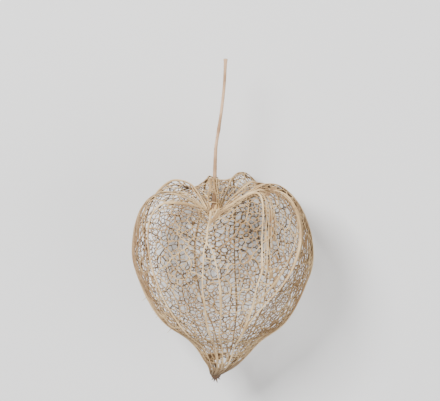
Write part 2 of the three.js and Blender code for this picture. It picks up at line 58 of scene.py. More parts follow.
def smooth_curve(xs: np.ndarray, ys: np.ndarray, x: np.ndarray) -> np.ndarray:
    """Read a smooth curve without overshoot through given points.

    Args:
        xs: Rising places of the points.
        ys: Values at the points.
        x: Places to read.

    Returns:
        The values of the curve at x.
    """
    xs, ys = np.asarray(xs, float), np.asarray(ys, float)
    x = np.clip(np.asarray(x, float), xs[0], xs[-1])
    slopes = np.diff(ys) / np.diff(xs)
    product = slopes[:-1] * slopes[1:]
    total = np.where(np.abs(slopes[:-1] + slopes[1:]) < 1e-12, 1.0, slopes[:-1] + slopes[1:])
    tangents = np.concatenate(([slopes[0]], np.where(product <= 0, 0.0, 2 * product / total), [slopes[-1]]))
    i = np.clip(np.searchsorted(xs, x, side="right") - 1, 0, len(xs) - 2)
    span = xs[i + 1] - xs[i]
    f = (x - xs[i]) / span
    return (
        (2 * f**3 - 3 * f**2 + 1) * ys[i]
        + (f**3 - 2 * f**2 + f) * span * tangents[i]
        + (3 * f**2 - 2 * f**3) * ys[i + 1]
        + (f**3 - f**2) * span * tangents[i + 1]
    )


class Meridian:
    """The line from the rim of the seat over the shoulder to the tip, read by its share of the length."""

    POINTS = (
        (2.2, 0.0),
        (6.6, 3.6),
        (11.9, 6.4),
        (17.0, 6.0),
        (21.0, 0.6),
        (22.8, -10.4),
        (20.9, -18.0),
        (15.9, -27.1),
        (9.2, -32.5),
        (4.5, -38.4),
        (1.3, -41.8),
    )
    STEPS_PER_SPAN = 80

    def __init__(self) -> None:
        """Sample the spline through the points and measure it."""
        points = np.array(self.POINTS)
        padded = np.vstack((points[:1], points, points[-1:]))
        rows = []
        for i in range(len(points) - 1):
            p0, p1, p2, p3 = padded[i], padded[i + 1], padded[i + 2], padded[i + 3]
            t = np.linspace(0, 1, self.STEPS_PER_SPAN, endpoint=False)[:, None]
            v0, v1 = (p2 - p0) / 2, (p3 - p1) / 2
            cubic, square = 2 * p1 - 2 * p2 + v0 + v1, -3 * p1 + 3 * p2 - 2 * v0 - v1
            rows.append(cubic * t**3 + square * t**2 + v0 * t + p1)
        rows.append(points[-1:])
        self.samples = np.vstack(rows)
        steps = np.linalg.norm(np.diff(self.samples, axis=0), axis=1)
        places = np.concatenate(([0.0], np.cumsum(steps)))
        self.length = float(places[-1])
        self.shares = places / self.length

    def radius(self, share: np.ndarray) -> np.ndarray:
        """Return the distance from the axis at a share of the length."""
        return np.interp(share, self.shares, self.samples[:, 0])

    def height(self, share: np.ndarray) -> np.ndarray:
        """Return the place along the axis at a share of the length."""
        return np.interp(share, self.shares, self.samples[:, 1])

    def slope(self, share: np.ndarray) -> tuple[np.ndarray, np.ndarray]:
        """Return the direction of the line, as its parts away from and along the axis.

        Args:
            share: Shares of the length of the meridian.

        Returns:
            The two parts of the direction, which together have the length 1.
        """
        step = 0.003
        outward = self.radius(share + step) - self.radius(share - step)
        along = self.height(share + step) - self.height(share - step)
        size = np.hypot(outward, along)
        return outward / size, along / size


@dataclass(frozen=True)
class Rib:
    """One rib: its azimuth at each level, the form of its crest and the puff of the panel after it."""

    azimuth: tuple[float, ...]
    rise: float
    reach: float
    puff: float
    levels: tuple[float, ...] = (0.0, 0.17, 0.365, 0.46, 0.52, 0.6, 0.66, 0.74, 0.86, 1.0)

    def at(self, share: np.ndarray) -> np.ndarray:
        """Return the rib's azimuth at each share of the length."""
        return smooth_curve(self.levels, self.azimuth, share)


class LanternWall:
    """The wall of the lantern, in millimetres and degrees, as a function of azimuth and share."""

    # The levels that the front rib's azimuths are given at, close together where it forks
    FORK = (0.0, 0.17, 0.2, 0.26, 0.3, 0.345, 0.36, 0.38, 0.4, 0.42, 0.46, 0.52, 0.6, 0.66, 0.74, 0.86, 1.0)
    RIBS = (
        Rib((-58.5, -57.2, -55.9, -50.4, -46, -44.3, -41, -38, -40.5, -41), -2.3, 1.8, 0.6),
        Rib((-24, -14.1, -12.6, -10.9, -10.4, -10.2, -10.5, -11.6, -11.8, -11.8, -12, -12.6, -12.4, -13.2,
             -13.4, -16, -18), -6.4, 0.4, 0.0, FORK),
        Rib((-24, -14.1, -12.6, -10.9, -10.4, -10.2, -9.5, -7, -5.7, -4.7, -3.1, -1.6, -1.5, -2.6, -5,
             -5.3, -2), -6.4, 0.4, 0.6, FORK),
        Rib((36.2, 32.6, 25.6, 25, 21.6, 20.6, 18.4, 15.6, 13.3, 15.3), 1.2, 2.0, 0.8),
        Rib((68, 70, 61.9, 51, 42, 29, 21.3, 15.6, 13.3, 15.3), -0.5, -0.8, 0.6),
        Rib((90, 86, 83, 85.2, 86.4, 87, 83.4, 76.6, 67.8, 58), 0.9, -2.2, -0.6),
        Rib((120.4, 120.9, 120.7, 119.5, 118.1, 116.3, 113.7, 109.6, 103.9, 96.9), -1.6, -0.7, 0.1),
        Rib((148, 151, 150.5, 148.3, 147, 145.7, 143.6, 139.8, 134.7, 128.6), -1.6, 0.8, 2.0),
        Rib((164, 169.6, 171.3, 172.2, 172.1, 171.3, 169.9, 167.5, 164.1, 160.3), -0.6, -0.9, -0.8),
        Rib((195, 192.1, 194.1, 197.1, 199.1, 200.1, 200.3, 199.5, 197.6, 194.6), -0.2, -0.4, -2.8),
        Rib((237.2, 240.8, 242, 240.2, 238.1, 238, 239, 240.5, 241.7, 242.3), 0.4, -1.8, -0.4),
        Rib((266.5, 267.2, 265.9, 263.9, 264, 268.6, 273.7, 276, 279.4, 285.3), -1.5, -0.6, 1.1),
    )
    OFFSET_PLACES = (0.0, 0.17, 0.46, 0.72, 0.86, 0.95, 1.0)
    OFFSETS = (-1.5, 0.1, 0.1, 0.55, 0.85, 0.1, -1.6)
    ROUNDNESS = 0.55
    SHOULDER_TOP = 0.18
    SHOULDER_END = 0.42
    FLOOR_DEPTH = 21.0
    FLOOR_CLEARANCE = 0.12
    FLOOR_SOFTNESS = 0.5

    def __init__(self) -> None:
        """Prepare the meridian and the latitudes of the wall on a sphere."""
        self.meridian = Meridian()
        self.count = len(self.RIBS)
        shares = np.linspace(0, 1, 801)
        middles = (shares[1:] + shares[:-1]) / 2
        steps = self.meridian.length / 800 / self.meridian.radius(middles)
        sums = np.concatenate(([0.0], np.cumsum(steps)))
        middle = np.interp(0.45, shares, sums)
        self.latitude_shares = shares
        self.latitudes = 2 * np.arctan(np.exp(sums - middle))

    def shoulder(self, share: np.ndarray) -> np.ndarray:
        """Return how much a place belongs to the crest of the shoulder.

        Args:
            share: Shares of the length of the meridian.

        Returns:
            1 on the crest of the shoulder, and 0 at the seat and well below the crest.
        """
        rising = np.sin(np.pi / 2 * np.clip(share / self.SHOULDER_TOP, 0, 1)) ** 2
        falling = np.clip((share - self.SHOULDER_TOP) / (self.SHOULDER_END - self.SHOULDER_TOP), 0, 1)
        return np.where(share < self.SHOULDER_TOP, rising, np.cos(np.pi / 2 * falling) ** 2)

    def rib_azimuths(self, share: np.ndarray) -> np.ndarray:
        """Return the azimuth of each rib at each share, one row for each rib and one for the next turn."""
        rows = [rib.at(share) for rib in self.RIBS]
        return np.array(rows + [rows[0] + 360.0])

    def rib_azimuth(self, rib: int, share: np.ndarray) -> np.ndarray:
        """Return the azimuth of one rib, which may be counted past a full turn."""
        turns, index = divmod(rib, self.count)
        return self.RIBS[index].at(share) + 360.0 * turns

    def ring_point(self, azimuth: np.ndarray, radius: np.ndarray, y: np.ndarray,
                   share: np.ndarray) -> np.ndarray:
        """Return the point at an azimuth and a distance from the bent axis.

        Args:
            azimuth: Azimuths in degrees.
            radius: Distances from the bent axis.
            y: Places along the axis.
            share: Shares of the length of the meridian.

        Returns:
            One point for each place.
        """
        angle = np.radians(azimuth)
        offset = smooth_curve(self.OFFSET_PLACES, self.OFFSETS, share)
        return np.stack((offset + radius * np.sin(angle), y, radius * np.cos(angle)), axis=-1)

    def sectors(self, azimuth: np.ndarray, share: np.ndarray) -> tuple[np.ndarray, np.ndarray, np.ndarray]:
        """Find the panels that hold given places.

        Args:
            azimuth: Azimuths in degrees.
            share: Shares of the meridian.

        Returns:
            The panel of each place, its azimuth brought into the panel's turn, and the ribs' azimuths there.
        """
        ribs = self.rib_azimuths(share)
        turned = ribs[0] + np.mod(azimuth - ribs[0], 360.0)
        sector = np.clip((ribs[:-1] <= turned).sum(axis=0) - 1, 0, self.count - 1)
        return sector, turned, ribs

    def points(self, azimuth: np.ndarray, share: np.ndarray) -> np.ndarray:
        """Return the points of the wall, one row of x, y and z for each place.

        Args:
            azimuth: Azimuths in degrees.
            share: Shares of the length of the meridian.

        Returns:
            One row of x, y and z for each place, in the lantern's own millimetres.
        """
        azimuth, share = np.atleast_1d(np.asarray(azimuth, float)), np.atleast_1d(np.asarray(share, float))
        sector, turned, ribs = self.sectors(azimuth, share)
        columns = np.arange(len(share))
        left, right = ribs[sector, columns], ribs[sector + 1, columns]
        width = np.where(right - left < 1e-6, 1.0, right - left)
        part = np.where(right - left < 1e-6, 0.0, (turned - left) / width)
        shoulder = self.shoulder(share)
        rise = np.array([rib.rise for rib in self.RIBS] + [self.RIBS[0].rise])
        reach = np.array([rib.reach for rib in self.RIBS] + [self.RIBS[0].reach])
        puff = np.array([rib.puff for rib in self.RIBS])
        base_radius, base_y = self.meridian.radius(share), self.meridian.height(share)
        radius_left, radius_right = (base_radius + reach[sector + k] * shoulder for k in (0, 1))
        y_left, y_right = (base_y + rise[sector + k] * shoulder for k in (0, 1))
        mix = part[:, None]
        chord = self.ring_point(left, radius_left, y_left, share) * (1 - mix)
        chord += self.ring_point(right, radius_right, y_right, share) * mix
        radius = radius_left * (1 - part) + radius_right * part
        arc = self.ring_point(turned, radius, y_left * (1 - part) + y_right * part, share)
        wall = chord * (1 - self.ROUNDNESS) + arc * self.ROUNDNESS
        outward, along = self.meridian.slope(np.clip(share, 0.003, 0.997))
        lift = puff[sector] * shoulder * 4 * part * (1 - part)
        angle = np.radians(turned)
        wall[:, 0] -= along * lift * np.sin(angle)
        wall[:, 2] -= along * lift * np.cos(angle)
        wall[:, 1] += outward * lift
        lowest = self.FLOOR_CLEARANCE - self.FLOOR_DEPTH
        above = (wall[:, 2] - lowest) / self.FLOOR_SOFTNESS
        soft = lowest + self.FLOOR_SOFTNESS * np.log1p(np.exp(np.minimum(above, 20.0)))
        wall[:, 2] = np.where(above > 20.0, wall[:, 2], soft)
        return wall

    def normals(self, azimuth: np.ndarray, share: np.ndarray) -> np.ndarray:
        """Return the outward normals of the wall.

        Args:
            azimuth: Azimuths in degrees.
            share: Shares of the length of the meridian.

        Returns:
            One unit vector for each place.
        """
        step = 0.006
        share = np.clip(share, step, 1 - step)
        turn = np.degrees(step * self.meridian.length / self.meridian.radius(share))
        across = self.points(azimuth + turn, share) - self.points(azimuth - turn, share)
        along = self.points(azimuth, share + step) - self.points(azimuth, share - step)
        normal = -np.cross(across, along)
        return normal / np.linalg.norm(normal, axis=1)[:, None]

    def to_sphere(self, azimuth: np.ndarray, share: np.ndarray) -> np.ndarray:
        """Map places to a unit sphere so that small shapes stay true.

        Args:
            azimuth: Azimuths in degrees.
            share: Shares of the length of the meridian.

        Returns:
            One unit vector for each place.
        """
        colatitude = np.interp(share, self.latitude_shares, self.latitudes)
        angle = np.radians(azimuth)
        ring = np.sin(colatitude)
        return np.stack((ring * np.sin(angle), np.cos(colatitude), ring * np.cos(angle)), axis=-1)

    def from_sphere(self, direction: np.ndarray) -> tuple[np.ndarray, np.ndarray]:
        """Return the azimuth and share of directions on the unit sphere.

        Args:
            direction: Unit vectors, one in each row.

        Returns:
            The azimuths in degrees and the shares.
        """
        colatitude = np.arccos(np.clip(direction[:, 1], -1, 1))
        azimuth = np.degrees(np.arctan2(direction[:, 0], direction[:, 2]))
        return azimuth, np.interp(colatitude, self.latitudes, self.latitude_shares)


class Rank(Enum):
    """How strong a vein is, from the finest net to a rib."""

    FINE = 0
    MIDDLE = 1
    STRONG = 2
    RIB = 3


@dataclass(frozen=True)
class VeinSize:
    """The section of a vein in millimetres: half its width, and half its thickness."""

    half_width: float
    half_thickness: float


VEIN_SIZES = {
    Rank.FINE: VeinSize(0.105, 0.1),
    Rank.MIDDLE: VeinSize(0.13, 0.125),
    Rank.STRONG: VeinSize(0.18, 0.165),
    Rank.RIB: VeinSize(0.17, 0.17),
}


@dataclass
class VeinNet:
    """The net of veins: cells round seeded points, in ranks that nest in each other."""

    wall: LanternWall
    seed: int = 4711
    cell: float = 1.17
    middle_cell: float = 2.5
    strong_cell: float = 4.8
    patch_length: float = 1.35
    smoothing_rounds: int = 6
    lost_share: float = 0.1
    # The lowest and the highest share of a seed, and how wide a panel is, in cells, to take one or two rows
    first: float = 0.032
    last: float = 1 - 0.03
    one_row: float = 0.55
    two_rows: float = 1.6
    # The darts thrown between the rows, and how much their distance varies
    darts: int = 90000
    spread: tuple[float, float] = (-0.14, 0.3)
    # How much longer than wide the cells are: at the seat, at the tip and in the narrow panels
    seat_stretch: float = 2.3
    seat_end: float = 0.22
    tip_stretch: float = 2.0
    tip_start: float = 0.7
    tip_run: float = 0.25
    panel_stretch: tuple[tuple[int, float], ...] = ((3, 1.6), (11, 1.3))
    # Where the net is coarser: from and to which azimuth and share, and by how much
    coarse: tuple[tuple[float, float, float, float, float], ...] = (
        (240.0, 304.0, 0.14, 0.46, 1.5),
        (60.0, 100.0, 0.42, 0.76, 1.45),
    )
    mesh: bmesh.types.BMesh = field(init=False, default=None)

    def build(self) -> bmesh.types.BMesh:
        """Make the flat net, with a face for each cell and the rank of each vein on its edge.

        Returns:
            The net as one flat mesh, cut open later.
        """
        self.random = random.Random(self.seed)
        self.numbers = np.random.default_rng(self.seed)
        self._place_seeds()
        self._label_seeds()
        self._find_corners()
        for _ in range(self.smoothing_rounds):
            self._smooth()
        self._make_faces()
        return self.mesh

    def _stretch(self, share: float, panel: int) -> float:
        """Return how much longer than wide the cells are, most in the sunken top and near the tip.

        Args:
            share: The share of the length.
            panel: The panel that the place is in.

        Returns:
            The length of a cell over its width.
        """
        seat = (self.seat_stretch - 1.0) * max(0.0, 1.0 - share / self.seat_end)
        tip = (self.tip_stretch - 1.0) * min(max((share - self.tip_start) / self.tip_run, 0.0), 1.0)
        return max(1.0 + seat + tip, dict(self.panel_stretch).get(panel, 1.0))

    def _coarseness(self, azimuth: float, share: float) -> float:
        """Return how much wider than usual the cells are at a place.

        Args:
            azimuth: The azimuth in degrees.
            share: The share of the length.

        Returns:
            1 for the usual width.
        """
        for start, end, low, high, factor in self.coarse:
            if start <= azimuth % 360 <= end and low <= share <= high:
                return factor
        return 1.0

    def _place_seeds(self) -> None:
        """Put one seed on the seat and one on the tip, rows beside each rib and darts between the rows."""
        wall, draw = self.wall, self.random
        step = self.cell / wall.meridian.length
        azimuths, shares, sectors = [], [], []
        for sector in range(wall.count):
            for side in (0, 1):
                share = self.first + (step * 0.5 if (side + sector) % 2 else 0.0) * 1.6
                while share < self.last:
                    place = share + (draw.random() - 0.5) * 0.3 * step
                    here = step * self._stretch(place, sector)
                    left, right = (float(wall.rib_azimuth(sector + k, place)) for k in (0, 1))
                    share += here * self._coarseness(right if side else left, place)
                    if not self.first <= place <= self.last:
                        continue
                    width = math.radians(right - left) * float(wall.meridian.radius(place))
                    cell = self.cell / math.sqrt(self._stretch(place, sector))
                    single = width < self.two_rows * cell
                    if width < self.one_row * cell or (single and side == 1):
                        continue
                    part = 0.5 if single else (0.5 + 0.16 * (draw.random() - 0.5)) * cell / width
                    across = part if side == 0 else 1 - part
                    azimuths.append(left + (right - left) * across)
                    shares.append(place)
                    sectors.append(sector)
        rows = len(azimuths)
        places = wall.points(np.array(azimuths), np.array(shares))
        grid = SeedGrid(self.cell)
        for place in places:
            grid.add(place)
        self._throw_darts(grid, azimuths, shares, sectors)
        self.azimuths = np.array(azimuths)
        self.shares = np.array(shares)
        self.sectors = np.array(sectors)
        self.places = wall.points(self.azimuths, self.shares)
        log.info("net: %d seeds in rows, %d in all", rows, len(azimuths))

    def _throw_darts(self, grid: "SeedGrid", azimuths: list, shares: list, sectors: list) -> None:
        """Fill the panels with seeds that keep their distance from those already there.

        Args:
            grid: The places already taken.
            azimuths: Azimuths of the seeds, added to.
            shares: Shares of the seeds, added to.
            sectors: Panels of the seeds, added to.
        """
        wall, count = self.wall, self.darts
        share = self.numbers.uniform(self.first, self.last, count)
        azimuth = self.numbers.uniform(0, 360, count)
        radius = wall.meridian.radius(share)
        keep = self.numbers.uniform(0, 23, count) < radius + 3.0
        share, azimuth, radius = share[keep], azimuth[keep], radius[keep]
        sector, turned, ribs = wall.sectors(azimuth, share)
        columns = np.arange(len(share))
        gap = np.minimum(turned - ribs[sector, columns], ribs[sector + 1, columns] - turned)
        gap = np.radians(gap) * radius
        places = wall.points(turned, share)
        spread = self.numbers.uniform(*self.spread, len(share))
        for i in range(len(share)):
            stretch = self._stretch(share[i], int(sector[i]))
            if gap[i] < 0.8 * self.cell / math.sqrt(stretch):
                continue
            clear = self.cell * (0.8 + 0.12 * math.sin(turned[i] * 0.11 + share[i] * 31.0) + spread[i])
            clear *= self._coarseness(turned[i], share[i])
            if grid.free(places[i], clear, stretch, self._along(turned[i], share[i])):
                grid.add(places[i])
                azimuths.append(float(turned[i]))
                shares.append(float(share[i]))
                sectors.append(int(sector[i]))

    def _along(self, azimuth: float, share: float) -> np.ndarray:
        """Return the direction along the meridian at a place.

        Args:
            azimuth: The azimuth in degrees.
            share: The share of the length.

        Returns:
            A unit vector.
        """
        outward, along = self.wall.meridian.slope(min(max(share, 0.003), 0.997))
        angle = math.radians(azimuth)
        return np.array((outward * math.sin(angle), along, outward * math.cos(angle)))

    def _label_seeds(self) -> None:
        """Give each seed the middle patch and the strong patch that it lies in, both longer than wide."""
        squeezed = self.places / np.array((1.0, self.patch_length, 1.0))
        strong = self._patches(squeezed, self.sectors, self.strong_cell)
        middle = self._patches(squeezed, self.sectors, self.middle_cell)
        centres = np.array([self.places[middle == patch].mean(axis=0) for patch in range(middle.max() + 1)])
        first = np.array([np.flatnonzero(middle == patch)[0] for patch in range(middle.max() + 1)])
        owners = []
        for patch, centre in enumerate(centres):
            same = self.sectors == self.sectors[first[patch]]
            nearest = np.argmin(np.linalg.norm(self.places[same] - centre, axis=1))
            owners.append(strong[np.flatnonzero(same)[nearest]])
        self.middle = middle
        self.strong = np.array(owners)[middle]

    def _patches(self, places: np.ndarray, sectors: np.ndarray, size: float) -> np.ndarray:
        """Split the seeds into patches of about one size, none of them across a rib.

        Args:
            places: The seeds' points.
            sectors: The seeds' panels.
            size: The distance between the middles of two patches.

        Returns:
            The patch of each seed.
        """
        middles: list[int] = []
        for index in self.numbers.permutation(len(places)):
            near = [m for m in middles if sectors[m] == sectors[index]]
            if all(np.linalg.norm(places[m] - places[index]) > size * 0.82 for m in near):
                middles.append(int(index))
        owners = np.array(middles)
        distance = np.linalg.norm(places[:, None] - places[None, owners], axis=2)
        distance += self.numbers.uniform(0, 0.12 * size, distance.shape)
        distance[sectors[:, None] != sectors[None, owners]] = np.inf
        return np.argmin(distance, axis=1)

    def _find_corners(self) -> None:
        """Find the corners of the cells: each facet of the hull of the seeds on a sphere gives one."""
        poles = np.array(((0.0, 1.0, 0.0), (0.0, -1.0, 0.0)))
        hull = bmesh.new()
        number = hull.verts.layers.int.new("seed")
        for index, point in enumerate(np.vstack((poles, self.wall.to_sphere(self.azimuths, self.shares)))):
            vert = hull.verts.new(point)
            vert[number] = index
        bmesh.ops.convex_hull(hull, input=list(hull.verts))
        bmesh.ops.delete(hull, geom=[v for v in hull.verts if not v.link_faces], context="VERTS")
        hull.faces.index_update()
        self.directions = np.array([face.normal for face in hull.faces])
        self.facet_seeds = np.array([[loop.vert[number] for loop in face.loops] for face in hull.faces])
        self.links = np.array([[loop.link_loop_radial_next.face.index for loop in face.loops]
                               for face in hull.faces])
        self.cells = [(vert[number], self._facets_round(vert)) for vert in hull.verts]
        hull.free()
        self._rank_links()
        self._find_borders()
        self._settle()

    @staticmethod
    def _facets_round(vert: bmesh.types.BMVert) -> list[int]:
        """Return the facets round a seed in order, as seen from outside.

        Args:
            vert: The seed's vertex on the hull.

        Returns:
            The numbers of the facets.
        """
        ring, loop = [], vert.link_loops[0]
        for _ in vert.link_loops:
            ring.append(loop.face.index)
            loop = loop.link_loop_prev.link_loop_radial_next
        return ring

    def _rank_links(self) -> None:
        """Rank each link between two corners by the patches of the two cells beside it."""
        pole = np.array((-1, -2))
        rows = self.sectors, self.strong, self.middle
        sector, strong, middle = (np.concatenate((pole, row)) for row in rows)
        a, b = self.facet_seeds, np.roll(self.facet_seeds, -1, axis=1)
        self.ranks = np.where(middle[a] != middle[b], Rank.MIDDLE.value, Rank.FINE.value)
        self.ranks = np.where(strong[a] != strong[b], Rank.STRONG.value, self.ranks)
        self.ranks = np.where(sector[a] != sector[b], Rank.RIB.value, self.ranks)
        top = self.ranks.max(axis=1, keepdims=True)
        leading = self.ranks == top
        chain = (leading.sum(axis=1, keepdims=True) == 2) & (top > 0)
        weights = np.where(chain, np.where(leading, 0.46, 0.08), 1 / 3)
        self.weights = weights / weights.sum(axis=1, keepdims=True)
        self.pace = np.where(top[:, 0] > 0, 0.6, 0.35)[:, None]

    def _find_borders(self) -> None:
        """Find the rib that each corner between two panels belongs to, as two ribs to take the middle of."""
        count = self.wall.count
        sector = np.concatenate(((-1, -1), self.sectors))
        self.at_seat = (self.facet_seeds == 0).any(axis=1)
        self.at_tip = (self.facet_seeds == 1).any(axis=1)
        self.border_low = np.full(len(self.facet_seeds), -1)
        self.border_high = np.full(len(self.facet_seeds), -1)
        for index, seeds in enumerate(self.facet_seeds):
            panels = sorted({int(panel) for panel in sector[seeds] if panel >= 0})
            if len(panels) < 2:
                continue
            low, high = panels[0], panels[-1]
            if high - low > count / 2:
                low, high = high, low + count
            self.border_low[index], self.border_high[index] = low + 1, high

    def _settle(self) -> None:
        """Bring the corners of ribs back to their rib, and those of the seat and the tip to their rims."""
        azimuth, share = self.wall.from_sphere(self.directions)
        share = np.where(self.at_seat, 0.0, np.where(self.at_tip, 1.0, share))
        for rib in range(1, self.wall.count + 1):
            line = self.wall.rib_azimuth(rib, share)
            beyond = self.wall.rib_azimuth(rib + 1, share)
            alone = (self.border_low == rib) & (self.border_high == rib)
            shared = (self.border_low == rib) & (self.border_high == rib + 1)
            azimuth = np.where(alone, line, azimuth)
            azimuth = np.where(shared, (line + beyond) / 2, azimuth)
        self.corner_azimuths, self.corner_shares = azimuth, share
        self.directions = self.wall.to_sphere(azimuth, share)

    def _smooth(self) -> None:
        """Draw each corner towards its neighbours, and along its own vein where one runs through it."""
        middle = (self.directions[self.links] * self.weights[:, :, None]).sum(axis=1)
        moved = self.directions * (1 - self.pace) + middle * self.pace
        self.directions = moved / np.linalg.norm(moved, axis=1)[:, None]
        self._settle()

    def _make_faces(self) -> None:
        """Make a face for each cell, and drop some of the finest veins so that cells run together."""
        points = self.wall.points(self.corner_azimuths, self.corner_shares)
        normals = self.wall.normals(self.corner_azimuths, self.corner_shares)
        mesh = bmesh.new()
        azimuth, share = (mesh.faces.layers.float.new(name) for name in ("azimuth", "share"))
        rank = mesh.edges.layers.int.new("rank")
        outward = mesh.verts.layers.float_vector.new("outward")
        for point, normal in zip(points, normals):
            mesh.verts.new(point)[outward] = normal
        mesh.verts.ensure_lookup_table()
        for seed, ring in self.cells:
            if seed < 2:
                continue
            face = mesh.faces.new([mesh.verts[corner] for corner in ring])
            face[azimuth], face[share] = float(self.azimuths[seed - 2]), float(self.shares[seed - 2])
        mesh.verts.index_update()
        ranks = {}
        for corner, (others, row) in enumerate(zip(self.links, self.ranks)):
            for other, value in zip(others, row):
                ranks[frozenset((corner, int(other)))] = int(value)
        for edge in mesh.edges:
            edge[rank] = ranks[frozenset(vert.index for vert in edge.verts)]
        self._lose_veins(mesh, rank)
        self.mesh = mesh

    def _lose_veins(self, mesh: bmesh.types.BMesh, rank: bmesh.types.BMLayerItem) -> None:
        """Remove some of the finest veins, none of them beside another that is gone.

        Args:
            mesh: The mesh of the net.
            rank: The layer with the rank of each vein.
        """
        touched, gone = set(), []
        edges = [edge for edge in mesh.edges if edge[rank] == Rank.FINE.value and len(edge.link_faces) == 2]
        self.random.shuffle(edges)
        for edge in edges[: int(len(edges) * self.lost_share * 1.6)]:
            if any(face in touched for face in edge.link_faces):
                continue
            touched.update(edge.link_faces)
            gone.append(edge)
            if len(gone) >= len(edges) * self.lost_share:
                break
        bmesh.ops.dissolve_edges(mesh, edges=gone, use_verts=True)
        log.info("net: %d fine veins lost, %d cells left", len(gone), len(mesh.faces))


class SeedGrid:
    """Places of seeds, kept in boxes so that near ones are found quickly."""

    def __init__(self, size: float) -> None:
        """Start with no seeds; size is the side of a box."""
        self.size = size
        self.boxes: dict[tuple[int, int, int], list[np.ndarray]] = {}

    def add(self, place: np.ndarray) -> None:
        """Add a seed."""
        key = tuple(int(math.floor(value / self.size)) for value in place)
        self.boxes.setdefault(key, []).append(place)

    def free(self, place: np.ndarray, clear: float, stretch: float, along: np.ndarray) -> bool:
        """Say whether a place keeps clear of the seeds.

        Args:
            place: The point to test.
            clear: The distance to keep, in the panel's middle.
            stretch: How much longer than wide the cells are there.
            along: The direction they are long in.

        Returns:
            Whether no seed is nearer than that.
        """
        key = [int(math.floor(value / self.size)) for value in place]
        reach = range(-2, 3) if stretch > 1.0 or clear > self.size else range(-1, 2)
        narrow = stretch ** 0.5
        for dx in reach:
            for dy in reach:
                for dz in reach:
                    for other in self.boxes.get((key[0] + dx, key[1] + dy, key[2] + dz), ()):
                        gap = other - place
                        run = float(gap @ along)
                        across = float(gap @ gap) - run * run
                        if across * narrow * narrow + (run / narrow) ** 2 < clear * clear:
                            return False
        return True


